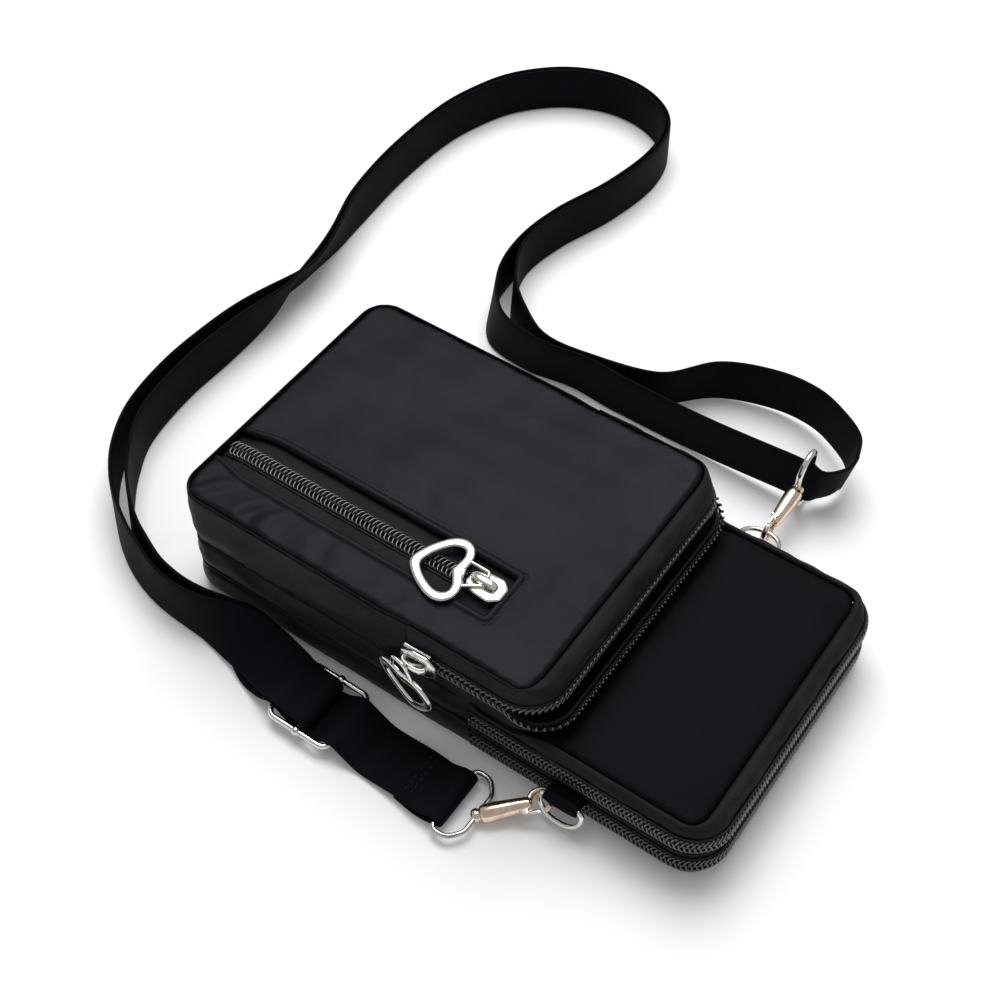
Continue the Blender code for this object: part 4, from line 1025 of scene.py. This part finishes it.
# %% Tapes on the walls
step_inset = seam_inset(lower_top, top_corner, step_side, step_end) - 0.0001
step_inset = step_inset * smooth(lower_top[0][:, 1], upper_y - 0.012, upper_y + 0.001)
front_inset = seam_inset(upper_top, top_corner, side_seam, mouth_seam) - 0.0001
curled_middle = curled(lower_top, middle_zip_z + coil_near, step_high, step_inset)
curled_front = curled(upper_top, front_zip_z + coil_near, bag_high, front_inset)
tapes = [("rear_zip_lower", lower_top, straight(back_high, rear_zip_z - coil_near), False),
         ("rear_zip_upper", lower_top, straight(divider_low, rear_zip_z + coil_near), False),
         ("middle_zip_lower", lower_top, straight(divider_high, middle_zip_z - coil_near), False),
         ("middle_zip_upper", lower_top, curled_middle, True),
         ("front_zip_lower", upper_top, mouth_sag(straight(step_high, front_zip_z - coil_near)), False),
         ("front_zip_upper", upper_top, mouth_lift(curled_front), True)]
for name, path, profile, slack in tapes:
    grid = carried(path, profile)
    if slack:
        run, inside = along_path(path)
        share = np.linspace(0, 1, grid.shape[1])[None, :]
        push = 0.00045 * ripple(run, 0.02 * share, 0.013, 0.8) * (np.sin(np.pi * share) ** 2 * inside)
        grid[..., :2] += path[1][:, None] * push[..., None] * 0.7
        grid[..., 2] += push * share
    piece(f"{name}_band", [sheet(grid)], tape_cloth, stands_for=(f"{name}_tape",),
          inside=(0.0, 0.0, 0.020), wall=0.0007, crease=60)
print("tapes", [name for name, *_ in tapes])

# %% Pocket zip tapes
tape_start, tape_far, tape_z, end_dip = 0.0016, 0.0106, 0.0474, 0.0012
tape_y = lines(bottom_y + tape_start, pocket_top_y + 0.0030, 0.0020)
for name, side in (("inner", -1), ("outer", 1)):
    across = np.linspace(coil_near, tape_far, 12)
    y, x = np.meshgrid(tape_y, across, indexing="ij")
    z = tape_z - 0.00025 * smooth(x, 0.004, 0.010) + 0.00008 * ripple(x, y, 0.012, 0.5)
    z = z - end_dip * (1 - smooth(y, bottom_y + 0.003, bottom_y + 0.011))
    grid = np.stack([pocket_x + side * x, y, z], axis=-1)
    piece(f"pocket_zip_{name}_band", [sheet(grid)], tape_cloth,
          stands_for=(f"pocket_zip_{name}_tape",), inside=(0, 0, 0.02), wall=0.0007)
print("pocket tape points", tape_y.size * across.size)

# %% [markdown]
# ## Stitches
# Sewing thread shows as rows of short rounded dashes. One dash is a small grid of rings closed at
# both ends. Copies of it are set along a line all at once: each gets the line's own direction,
# the direction out of the cloth, and the one square to both.


# %% Rows of stitches
def stitches(line, up, pitch=0.0026, length=0.0019, radius=0.00017):
    """Dashes along a line. A ring at t from -1 to 1 has the radius r sqrt(1 - t^4), and its middle
    lies r t^2 lower, so the thread dips into the cloth at both of the dash's ends."""
    line = np.asarray(line, float)
    up = np.broadcast_to(np.asarray(up, float), line.shape)
    run = run_length(line)
    starts = np.arange(pitch * 0.5, run[-1] - length * 0.5, pitch)
    t = np.array([-1, -0.85, -0.4, 0, 0.4, 0.85, 1])
    angle = np.radians(np.arange(0, 361, 72))
    at = starts[:, None] + t * length / 2
    middle = np.stack([np.interp(at, run, line[:, k]) for k in range(3)], axis=-1)
    along = unit(middle[:, -1:] - middle[:, :1])
    out = unit(np.stack([np.interp(at, run, up[:, k]) for k in range(3)], axis=-1))
    side = np.cross(along, out)
    size = radius * np.sqrt(np.maximum(1 - t ** 4, 0))[None, :, None, None]
    sunk = (middle - out * (radius * t ** 2)[None, :, None])[:, :, None]
    grid = sunk + size * (np.cos(angle)[None, None, :, None] * side[:, :, None]
                          + np.sin(angle)[None, None, :, None] * out[:, :, None])
    count, one = t.size * angle.size, cells(t.size, angle.size)
    faces = (one[None] + count * np.arange(len(starts))[:, None, None]).reshape(-1, 4)
    return grid.reshape(-1, 3), faces, np.zeros((len(starts) * count, 2))


def sewn_on_panel(x, y):
    """A row of stitches that lies on the top panel."""
    x, y = np.broadcast_arrays(np.asarray(x, float), np.asarray(y, float))
    height = panel_height(x, y, 0.02 + 0 * x, window_distance(x, y)) + 0.00012
    return stitches(np.stack([narrowed(x, y), y, height], axis=1), (0, 0, 1))


# %% Stitches
seam_off = 0.0031
left_x, right_x = pocket_x - pocket_half - seam_off, pocket_x + pocket_half + seam_off
end_y = pocket_top_y + seam_off
down = np.linspace(end_y, bottom_y + 0.004, 120)
window_stitches = [sewn_on_panel(left_x, down), sewn_on_panel(right_x, down),
                   sewn_on_panel(np.linspace(left_x, right_x, 30), end_y)]
piece("pocket_stitches", window_stitches, thread, crease=80)
sewn_rows = []
top_layer = main_line[:45][main_line[:45, 2] > flat_z + strap_thick * 0.9]
for back in (0.0120, 0.0145):
    spot = top_layer[np.argmin(np.abs(top_layer[:, 1] - bottom_y - bar_y + back))]
    row = np.zeros((20, 3))
    row[:, 0], row[:, 2] = np.linspace(-0.0085, 0.0085, 20), layer + 0.0001
    sewn_rows.append(stitches(spot + row, (0, 0, 1)))
piece("strap_end_stitches", sewn_rows, thread, crease=80)
print("stitch faces", sum(v for k, v in made_pieces.items() if k.endswith("stitches")))

# %% [markdown]
# ## Zip teeth
# Each row of teeth is one nylon strand wound into a flat coil. Its path goes across the row and
# back as a flattened circle while it moves along the tape, so the whole row is a single tube on
# that path. Two such rows, half a turn apart, lock into each other in the middle.


# %% Coil rows
def coil(place, length, hand, near, pitch, per_turn=14, sides=6):
    """One row: across goes as cos and out as sin of the winding angle. The strand moves on to the
    next turn only at its outer side, so the strand below hides under the one above.

    place turns (along, across, out) into points. hand is 1 or -1 for the side of the middle.
    """
    turns = int(length / pitch)
    angle = np.linspace(0, 2 * np.pi * turns, turns * per_turn + 1)
    turn_number = np.floor(angle / (2 * np.pi) + 1e-9)
    moved_on = smooth(angle / (2 * np.pi) - turn_number, 0.30, 0.70)
    wide = np.sign(np.cos(angle)) * np.abs(np.cos(angle)) ** 0.8
    along = (turn_number + moved_on + 0.45 * (1 - wide) / 2 + (0.5 if hand > 0 else 0)) * pitch
    along = np.clip(along, 0, length)
    across = hand * (near + (coil_far - 0.0003 - near) * (1 - wide) / 2)
    out = coil_out * 0.47 + (coil_out * 0.5 - 0.00034) * np.sin(angle)
    line = place(along, across, out)
    behind = place(np.maximum(along - 1e-5, 0), across, out)
    ahead = place(np.minimum(along + 1e-5, length), across, out)
    return tube(line, unit(ahead - behind), 0.26 * pitch, 0.00036, sides)


def edge_cord(place, length, hand):
    """The thin woven cord that is sewn along a row's outer edge and holds it to the tape."""
    along = np.linspace(0, length, int(length / 0.0012))
    twist = 0.00006 * np.sin(2 * np.pi * along / 0.0017)
    line = place(along, hand * (coil_far + 0.00045) + twist, 0.0002 + 0 * along)
    ahead = np.gradient(line, axis=0)
    return tube(line, np.cross(unit(ahead), (0.3, 0.2, 0.93)), 0.00034, sides=6)


def on_wall(path, z, shape=None):
    """Places on a wall: along the path, up from z, and out from the wall's face."""
    def place(along, across, out):
        along = np.asarray(along)
        flat = np.stack([np.interp(along, path[2], path[0][:, k]) for k in (0, 1)], axis=1)
        way = unit(np.stack([np.interp(along, path[2], path[1][:, k]) for k in (0, 1)], axis=1))
        profile = np.stack([out, z + across], axis=1)
        if shape:
            profile = shape(profile, np.clip(way[:, 1], 0, 1))
        return np.hstack([flat + way * profile[:, :1], profile[:, 1:]])
    return place


def sagging(profile, faced):
    """The lower row of the open zip, which leans out and drops with its band."""
    height = np.clip((profile[:, 1] - step_high - gap) / zip_rise, 0, 1.3)
    return profile + np.stack([mouth_lean * faced * height, -mouth_drop * faced * height], axis=1)


def lifting(profile, faced):
    """The upper row of the open zip, which rises with its band."""
    return profile + np.stack([0 * faced, mouth_rise * faced], axis=1)


coil_start, coil_z, coil_short = 0.0019, 0.0475, 0.0029


def on_top(along, across, out):
    """Places on the pocket's tape, along its zip from the bottom end, where the tape dips."""
    dip = end_dip * (1 - smooth(along, 0.0, 0.008))
    return np.stack([pocket_x + across, bottom_y + coil_start + along, coil_z + out - dip], axis=1)


# %% Teeth of the four zips
rear_place, middle_place = on_wall(lower_top, rear_zip_z), on_wall(lower_top, middle_zip_z)
sag_place = on_wall(upper_top, front_zip_z, sagging)
lift_place = on_wall(upper_top, front_zip_z, lifting)
lower_length, upper_length = lower_top[2][-1], upper_top[2][-1]
pocket_length = pocket_top_y - bottom_y - coil_short
meshed, parted = -0.0002, 0.0002
for name, place, length, hand, near, pitch in (
        ("rear_zip_lower", rear_place, lower_length, -1, meshed, 0.0015),
        ("rear_zip_upper", rear_place, lower_length, 1, meshed, 0.0015),
        ("middle_zip_lower", middle_place, lower_length, -1, meshed, 0.0015),
        ("middle_zip_upper", middle_place, lower_length, 1, meshed, 0.0015),
        ("front_zip_lower", sag_place, upper_length, -1, parted, 0.0019),
        ("front_zip_upper", lift_place, upper_length, 1, parted, 0.0019),
        ("pocket_zip_inner", on_top, pocket_length, -1, meshed, 0.0016),
        ("pocket_zip_outer", on_top, pocket_length, 1, meshed, 0.0016)):
    piece(f"{name}_teeth", [coil(place, length, hand, near, pitch)], coil_plastic,
          stands_for=(f"{name}_coil",), crease=80)
    piece(f"{name}_cord", [edge_cord(place, length, hand)], thread, crease=80)
print("teeth faces", sum(v for k, v in made_pieces.items() if k.endswith("teeth")))

# %% [markdown]
# ## Sliders
# A slider is cast: a domed plate over the teeth with a lip down each side, a flat plate behind
# the tape, a post between them and a bridge that holds the puller. The plate is an outline that
# shrinks towards its middle as it rises, on the curve of a rounded edge.

# %% Slider
plate_low, plate_high, bridge_axis = 0.0016, 0.0027, 0.0037


def pebble(outline, low, high, soften=0.45, steps=12):
    """A plate with rounded edges: with angle a from -90 to 90 degrees, its outline is scaled by
    cos a and its height is sin a, each raised to a power below one."""
    outline = np.vstack([outline, outline[:1]])
    middle = (outline.max(0) + outline.min(0)) / 2
    angle = np.linspace(-np.pi / 2, np.pi / 2, steps)
    scale = np.abs(np.cos(angle)) ** soften
    scale[[0, -1]] = 0
    rise = np.sign(angle) * np.abs(np.sin(angle)) ** soften
    flat = middle + (outline - middle)[None] * scale[:, None, None]
    z = ((low + high) / 2 + (high - low) / 2 * rise)[:, None, None]
    return sheet(np.concatenate([flat, np.broadcast_to(z, (*flat.shape[:2], 1))], axis=2))


def slider_parts(wide):
    """A slider in its own frame: X is its travel, Z is away from the tape, and wide is 1 or -1 for
    the way that its wide end faces."""
    corners = [(-0.0058, -0.0026), (-0.0016, -0.0046), (0.0044, -0.0050), (0.0074, -0.0024),
               (0.0074, 0.0024), (0.0044, 0.0050), (-0.0016, 0.0046), (-0.0058, 0.0026)]
    radii = [0.0018, 0.0040, 0.0024, 0.0018, 0.0018, 0.0024, 0.0040, 0.0018]
    outline = rounded([(x * wide, y) for x, y in corners], radii)
    top = pebble(outline, plate_low - 0.0003, plate_high + 0.0005, 0.46, 16)
    under = pebble(outline * (0.95, 0.84), -0.0027, -0.0015, 0.30)
    post = [(-0.0012, -0.0004), (0.0030, -0.0004), (0.0030, 0.0004), (-0.0012, 0.0004)]
    post = pebble(rounded(post, [0.0003] * 4), -0.0020, plate_low + 0.0004, 0.2)
    parts = [top, under, post]
    for side in (-1, 1):
        lip = [(-0.0052 * wide, side * 0.0035, 0.0007), (0, side * 0.0038, 0.0007),
               (0.0046 * wide, side * 0.0042, 0.0007)]
        parts.append(tube(curve_through(lip, 5), (0, 0, 1), 0.0010, 0.00045, 8))
    t = np.linspace(-1, 1, 27)
    arch = np.stack([0.0042 * np.sign(t) * np.abs(np.sin(t * np.pi / 2)) ** 0.8, 0 * t,
                     plate_high - 0.0001 + 0.0026 * np.abs(np.cos(t * np.pi / 2)) ** 0.55], axis=1)
    parts.append(tube(evenly(arch, 0.0005), (0, 1, 0), 0.0014, 0.0006, 14))
    return parts


# %% Sliders
slider_places = {
    "pocket": frame_at((pocket_x, 0.0035, 0.0478), (0, -1, 0), (0, 0, 1)),
    "front": frame_at((half_width, -0.0020, front_zip_z), (0, 1, 0), (1, 0, 0)),
    "middle": frame_at((-half_width, 0.0215, middle_zip_z), (0, 1, 0), (-1, 0, 0)),
    "rear": frame_at((-half_width, 0.0215, rear_zip_z), (0, 1, 0), (-1, 0, 0))}
for name, where in slider_places.items():
    parts = [placed(part, where) for part in slider_parts(1 if name == "front" else -1)]
    piece(f"{name}_slider_body", parts, nickel, body=f"{name}_slider", stands_for=(f"{name}_slider",),
          crease=60)
print("sliders", list(slider_places))

# %% [markdown]
# ## Pullers
# The pocket's and the front zip's pullers are heart frames with a blunt point. Each is the band
# between an outer and an inner heart, which are smooth curves through points of one half and
# their mirror images. All along the band a small rounded oval spans from one heart to the other,
# which gives the polished look of cast metal. A little loop in the notch hangs on the slider's
# bridge. The other two zips, on the far side, have plain narrow plates.


# %% Hearts
def wire_outline(outline, spacing=None):
    """A closed outline as points of a tube in the XY plane, evenly spaced if a spacing is given."""
    if spacing:
        outline = evenly(np.vstack([outline, outline[:1]]), spacing)[:-1]
    return np.hstack([outline, np.zeros((len(outline), 1))])


def mirrored(half):
    """A closed curve through points on one side of the X axis and their mirror images."""
    half = np.array(half) / 1000 + (0.0015, 0)
    whole = np.vstack([half, half[-2:0:-1] * (1, -1)])
    looped = np.vstack([whole[-2:], whole, whole[:3]])
    steps = 6
    return curve_through(looped, steps)[2 * steps:(2 + len(whole)) * steps]


outer_heart = mirrored([(5.7, 0.0), (5.3, 1.9), (4.6, 4.4), (4.6, 7.3), (5.9, 10.3), (8.6, 12.2),
                        (11.8, 12.2), (14.7, 10.9), (17.0, 9.1), (19.0, 7.3), (20.8, 5.2),
                        (22.4, 2.9), (23.2, 1.2), (23.4, 0.0)])
inner_heart = mirrored([(9.6, 0.0), (9.0, 1.6), (8.0, 4.1), (7.6, 6.0), (8.0, 7.9), (9.4, 8.8),
                        (11.6, 8.8), (13.5, 7.8), (15.2, 6.5), (16.7, 5.1), (18.0, 3.6),
                        (19.0, 2.1), (19.6, 0.9), (19.7, 0.0)])
print("heart is", np.round(np.ptp(outer_heart, axis=0), 4))


# %% Pullers
def heart_puller():
    """A puller with X to its point and Y its pin: the heart frame and its loop."""
    middle, reach = (outer_heart + inner_heart) / 2, (outer_heart - inner_heart) / 2
    middle, reach = (np.vstack([line, line[:1]]) for line in (middle, reach))
    angle = np.linspace(0, 2 * np.pi, 21)
    angle[-1] = 0
    cos, sin = np.cos(angle), np.sin(angle)
    wide = np.sign(cos) * np.abs(cos) ** 0.72
    high = np.sign(sin) * np.abs(sin) ** 0.72 * 0.00090
    flat = middle[:, None] + reach[:, None] * wide[None, :, None]
    z = np.broadcast_to(high[None, :, None], (*flat.shape[:2], 1))
    frame_part = sheet(np.concatenate([flat, z], axis=2))
    loop = rounded([(-0.0004, -0.0026), (0.0074, -0.0050), (0.0074, 0.0050), (-0.0004, 0.0026)],
                   [0.0012, 0.0008, 0.0008, 0.0012])
    loop = wire_outline(loop, 0.0006)
    return [frame_part, tube(loop, (0, 0, 1), 0.00062, closed=True)]


def plain_puller():
    """A plain flat puller with X to its end and Y its pin, and a loop at its start."""
    plate = rounded([(0.0060, -0.0036), (0.0220, -0.0035), (0.0220, 0.0035), (0.0060, 0.0036)],
                    [0.0014, 0.0030, 0.0030, 0.0014])
    loop = rounded([(0, -0.0034), (0.0070, -0.0030), (0.0070, 0.0030), (0, 0.0034)], [0.0012] * 4)
    return [pebble(plate, -0.0006, 0.0006, 0.30),
            tube(wire_outline(loop), (0, 0, 1), 0.0006, closed=True)]


pin = shift(0, 0, bridge_axis)
puller_places = {
    "pocket": slider_places["pocket"] @ pin @ turn("Z", 15.5) @ turn("Y", 2.2) @ shift(0, -0.0014, 0),
    "front": (slider_places["front"] @ shift(-0.0042, 0, bridge_axis + 0.0020) @ turn("Z", -90)
              @ turn("X", 13.0) @ turn("Y", 6.0) @ turn("Z", 6.0) @ shift(-0.0008, 0, 0)),
    "middle": slider_places["middle"] @ pin @ turn("Z", 180),
    "rear": slider_places["rear"] @ pin @ turn("Z", 180)}
for name, where in puller_places.items():
    parts = heart_puller() if name in ("pocket", "front") else plain_puller()
    piece(f"{name}_puller_cast", [placed(part, where) for part in parts], nickel,
          body=f"{name}_puller", stands_for=(f"{name}_puller",), crease=60)
print("pullers", list(puller_places))

# %% [markdown]
# ## Side rings and tabs
# A D-ring is bent from one wire: a straight bar and a bow. It hangs in a loop of narrow webbing
# that is sewn into the wall. The left ring hangs nearly straight down, and the strap holds the
# right one out to the side.

# %% Rings
half, deep = ring_width / 2, ring_depth
ring_outline = rounded([(-half, 0), (half, 0), (half, deep * 0.58), (half * 0.46, deep),
                        (-half * 0.46, deep), (-half, deep * 0.58)], [0.0018] * 2 + [0.0065] * 4, 10)
ring_line = wire_outline(ring_outline, 0.0008)[:, [2, 0, 1]] * (1, 1, -1)
left_ring_at = shift(ring_out, tab_y, ring_z) @ turn("Y", -12.0)
right_side = shift(-ring_out, tab_y, ring_z) @ turn("Z", 180)
right_ring_at = right_side @ turn("Y", -80.0)
ring = tube(ring_line, (1, 0, 0), ring_wire / 2, sides=14, closed=True)
for name, where in (("left", left_ring_at), ("right", right_ring_at)):
    piece(f"{name}_ring_wire", [placed(ring, where)], nickel, body=f"{name}_ring",
          stands_for=(f"{name}_ring",), crease=80)
print("ring wire is", round(float(run_length(ring_line)[-1]), 4), "long")


# %% Tabs
def tab_loop():
    """A tab of webbing: its section is a line that leaves the wall, rounds the bar and returns."""
    thick = 0.00055
    hole = ring_wire / 2 + gap + thick
    root = ring_out - half_width + 0.0014
    angle = np.radians(np.linspace(-150, 150, 25))
    bend = np.stack([hole * np.cos(angle), hole * np.sin(angle)], axis=1)
    line = evenly(np.vstack([(-root, -0.0007), (-root * 0.6, -0.0008), bend, (-root * 0.6, 0.0008),
                             (-root, 0.0007)]), 0.0005)
    line = np.stack([line[:, 0], 0 * line[:, 0], line[:, 1]], axis=1)
    return tube(line, (0, 1, 0), 0.0060, thick, 16)


for name, where in (("left", shift(ring_out, tab_y, ring_z)), ("right", right_side)):
    piece(f"{name}_tab_loop", [placed(tab_loop(), where)], webbing, stands_for=(f"{name}_tab",),
          crease=80)
print("tab faces", made_pieces["left_tab_loop"])

# %% [markdown]
# ## Snap hooks
# The hook body is turned on a lathe: a barrel that narrows to a neck. Its bow is bent wire round
# the ring, and a small sprung gate closes the bow. The body is the warm cast metal, while the
# gate and its pin are bright. The eye's ball sits in the barrel's end, so the hook can swivel.

# %% Hook bodies
inner_r, bow_wire = 0.0027, 0.0019
neck_end = hook_reach - inner_r - bow_wire / 2
barrel = [(-0.0026, 0.0), (-0.0025, 0.0013), (-0.0018, 0.0021), (-0.0006, 0.0023), (0.0002, 0.0020),
          (0.0010, 0.0027), (0.0024, 0.0030), (0.0060, 0.0029), (0.0100, 0.0026), (0.0134, 0.0023),
          (neck_end - 0.0002, 0.0020), (neck_end + 0.0008, 0.0014), (neck_end + 0.0010, 0.0)]
ear_x, ear_y = hook_reach - inner_r - bow_wire - 0.0004, 0.0027
bow_middle = inner_r + bow_wire / 2
tip_degrees = 75
bow_angle = np.radians(np.linspace(tip_degrees, -178, 40))
bow_line = np.stack([hook_reach + bow_middle * np.cos(bow_angle), bow_middle * np.sin(bow_angle),
                     0 * bow_angle], axis=1)
bow_thick = 0.00098 * (0.80 + 0.2 * smooth(np.arange(40), 0, 5))
ear = rounded([(ear_x - 0.0035, 0.0007), (ear_x + 0.0009, 0.0007),
               (ear_x + 0.0009, ear_y + 0.0009), (ear_x - 0.0009, ear_y + 0.0009)],
              [0.0002, 0.0002, 0.0007, 0.0007], 5)
hook_body = [lathe(curve_through(barrel, 3), 28),
             tube(bow_line, (0, 0, 1), bow_thick * 1.2, bow_thick, 12),
             pebble(ear, -0.0009, -0.00025, 0.25)]
print("hook bends from", hook_reach - inner_r, "to", round(bow_line[:, 0].max(), 4))

# %% Hooks, gates and pins
tip_angle = math.radians(tip_degrees)
tip = np.array((hook_reach + bow_middle * math.cos(tip_angle), bow_middle * math.sin(tip_angle)))
tip = tip - (ear_x, ear_y)
gate_reach = float(np.hypot(*tip)) - bow_wire * 0.55 - gap
gate_angle = math.degrees(math.atan2(tip[1], tip[0]))
gate = rounded([(-0.0009, -0.0007), (gate_reach, -0.0005), (gate_reach, 0.0005), (-0.0009, 0.0007)],
               [0.0005, 0.0003, 0.0003, 0.0005], 5)
gate = pebble(gate, 0.0001, 0.0011, 0.35)
pin_head = lathe([(0.0012, 0.0), (0.0012, 0.0006), (0.0016, 0.0006), (0.0018, 0.0004),
                  (0.0019, 0.0)], 16)
for side, where in (("left", left_hook_at), ("right", right_hook_at)):
    at_pin = where @ shift(ear_x, ear_y, 0)
    piece(f"{side}_hook_cast", [placed(part, where) for part in hook_body], cast_metal,
          body=f"{side}_hook", stands_for=(f"{side}_hook",), crease=50)
    piece(f"{side}_gate_plate", [placed(gate, at_pin @ turn("Z", gate_angle))], nickel,
          body=f"{side}_gate", stands_for=(f"{side}_gate",), crease=60)
    piece(f"{side}_pin_head", [placed(pin_head, at_pin @ turn("Y", -90))], nickel, body=f"{side}_hook",
          stands_for=(f"{side}_gate_pin",))
print("gate reaches", round(gate_reach, 4), "at", round(gate_angle, 1), "degrees")

# %% [markdown]
# ## Strap eyes and tri-glide
# The strap is sewn round the bar of a wire eye, and the eye's ball turns in the hook. The
# tri-glide is a flat wire frame with a middle bar, whose ends are riveted over the frame.


# %% Eyes
def eye_parts(where, hook_at, wire):
    """A strap eye: a wire loop in its plane, and a ball and post that point along the hook."""
    half = strap_width / 2 + wire_gap + eye_wire / 2
    outline = rounded([(-eye_depth, -half), (-eye_depth, half), (-eye_depth + 0.0060, half),
                       (-0.0004, half * 0.62), (-0.0004, -half * 0.62), (-eye_depth + 0.0060, -half)],
                      [0.0022, 0.0022, 0.0050, 0.0040, 0.0040, 0.0050], 8)
    line = wire_outline(outline, 0.0009)
    loop = placed(tube(line, (0, 0, 1), wire, sides=12, closed=True), where)
    ball = lathe(curve_through([(-0.0022, 0.0), (-0.0019, 0.0008), (-0.0012, 0.0014),
                                (0.0, 0.0017), (0.0014, 0.0013), (0.0020, 0.0008),
                                (0.0059, 0.0008), (0.0060, 0.0)], 4), 20)
    return [loop, placed(ball, hook_at)]


# The left eye takes the darker wire, whose colour is painted shade and painted reflection.
for side, where, hook_at, wire, look in (("left", left_eye_at, left_hook_at, 0.00085, shaded_wire),
                                         ("right", right_eye_at, right_hook_at, 0.00120, nickel)):
    piece(f"{side}_eye_wire", eye_parts(where, hook_at, wire), look, stands_for=(f"{side}_eye",),
          crease=60)
print("eye faces", made_pieces["left_eye_wire"])

# %% Tri-glide
glide_place = shift(glide_x, bottom_y + glide_at, glide_height)
half_glide, half_length = strap_width / 2 + 0.0016, glide_length / 2
glide_outline = rounded([(-half_glide, -half_length), (half_glide, -half_length),
                         (half_glide, half_length), (-half_glide, half_length)], [0.003] * 4, 8)
bar_line = np.zeros((20, 3))
bar_line[:, 0] = np.linspace(-half_glide, half_glide, 20)
rivet = lathe(curve_through([(-0.0016, 0.0), (-0.0012, 0.0011), (0.0, 0.0016), (0.0012, 0.0011),
                             (0.0016, 0.0)], 4), 16)
glide_outline = wire_outline(glide_outline, 0.0009)
glide_parts = [tube(glide_outline, (0, 0, 1), glide_wire / 2, sides=12, closed=True),
               tube(bar_line, (0, 0, 1), 0.00098, sides=12),
               placed(rivet, shift(-half_glide, 0, 0)), placed(rivet, shift(half_glide, 0, 0))]
piece("tri_glide_wire", [placed(part, glide_place) for part in glide_parts], nickel,
      stands_for=("tri_glide",), crease=60)
print("tri-glide faces", made_pieces["tri_glide_wire"])

# %% [markdown]
# ## Stage and light
# The object lies on plain white with a soft shadow. The floor is pale and also glows a little
# for the camera and for mirrors, which makes it white without adding light to the object. Far
# from the object the lamp's light fades, so there the glow for the camera grows instead. The
# light is a soft grey room and one large lamp overhead, at a level where a colour renders about
# as it is written. The room is white only to the camera, and gives its grey to everything else.

# %% Floor
floor_glow, far_glow = 0.045, 0.8
floor_mesh = bpy.data.meshes.new("floor")
floor_mesh.from_pydata([(-4, -4, 0), (4, -4, 0), (4, 4, 0), (-4, 4, 0)], [], [(0, 1, 2, 3)])
floor = bpy.data.objects.new("floor", floor_mesh)
bpy.context.scene.collection.objects.link(floor)
floor.location.z = -0.0001
ground = bpy.data.materials.new("white floor")
ground.use_nodes = True
tree = ground.node_tree
ground_shader = tree.nodes["Principled BSDF"]
ground_shader.inputs["Base Color"].default_value = (0.90, 0.90, 0.91, 1)
ground_shader.inputs["Roughness"].default_value = 0.9
ground_shader.inputs["Specular IOR Level"].default_value = 0.0
start = Wire(tree)
path_kind = start.node("LightPath").socket.node.outputs
seen = Wire(tree, path_kind["Is Camera Ray"]) + Wire(tree, path_kind["Is Glossy Ray"])
seen = seen + Wire(tree, path_kind["Is Transmission Ray"])
spot = start.node("TexCoord", output=3)
far_off = start.node("VectorMath", {"operation": "LENGTH"}, {0: spot}, output=1).within(0.50, 1.60)
strength = seen * floor_glow + Wire(tree, path_kind["Is Camera Ray"]) * far_off * far_glow
glow = start.node("Emission", {}, {"Color": (1, 1, 1, 1), "Strength": strength})
both = start.node("AddShader", {}, {0: Wire(tree, ground_shader.outputs[0]), 1: glow})
tree.links.new(both.socket, tree.nodes["Material Output"].inputs["Surface"])
floor_mesh.materials.append(ground)
print("floor at", floor.location.z)

# %% Room and lamp
room_light = 0.44
world = bpy.data.worlds.new("studio")
bpy.context.scene.world = world
world.use_nodes = True
tree = world.node_tree
background = tree.nodes["Background"]
background.inputs["Color"].default_value = (1, 1, 1, 1)
start = Wire(tree)
path_kind = start.node("LightPath").socket.node.outputs
camera_ray = Wire(tree, path_kind["Is Camera Ray"])
brightness = camera_ray * (1 - room_light) + room_light
tree.links.new(brightness.socket, background.inputs["Strength"])


def soft_lamp(name, place, aim, size, watts):
    """A square lamp at a place, whose Z axis points away from what it lights."""
    lamp = bpy.data.lights.new(name, "AREA")
    lamp.shape, lamp.size, lamp.energy = "SQUARE", size, watts
    made = bpy.data.objects.new(name, lamp)
    bpy.context.scene.collection.objects.link(made)
    back = unit(np.array(place, float) - aim)
    across = unit(np.cross((0, 0, 1.0), back))
    matrix = np.eye(4)
    matrix[:3, :3] = np.stack([across, np.cross(back, across), back], axis=1)
    matrix[:3, 3] = place
    made.matrix_world = Matrix(matrix.tolist())


soft_lamp("large soft lamp", (-0.48, -0.30, 1.25), (0, 0, 0), 1.0, 17.8)
print("lamps", [made.name for made in bpy.data.lights])

# %% [markdown]
# ## Faces
# The numbers of faces and pieces that were made are printed. The visual model has to stay in
# the solid part's box, apart from a little cloth.

# %% Count the faces and finish
bpy.context.view_layer.update()
print("faces", sum(made_pieces.values()), "pieces", len(made_pieces))
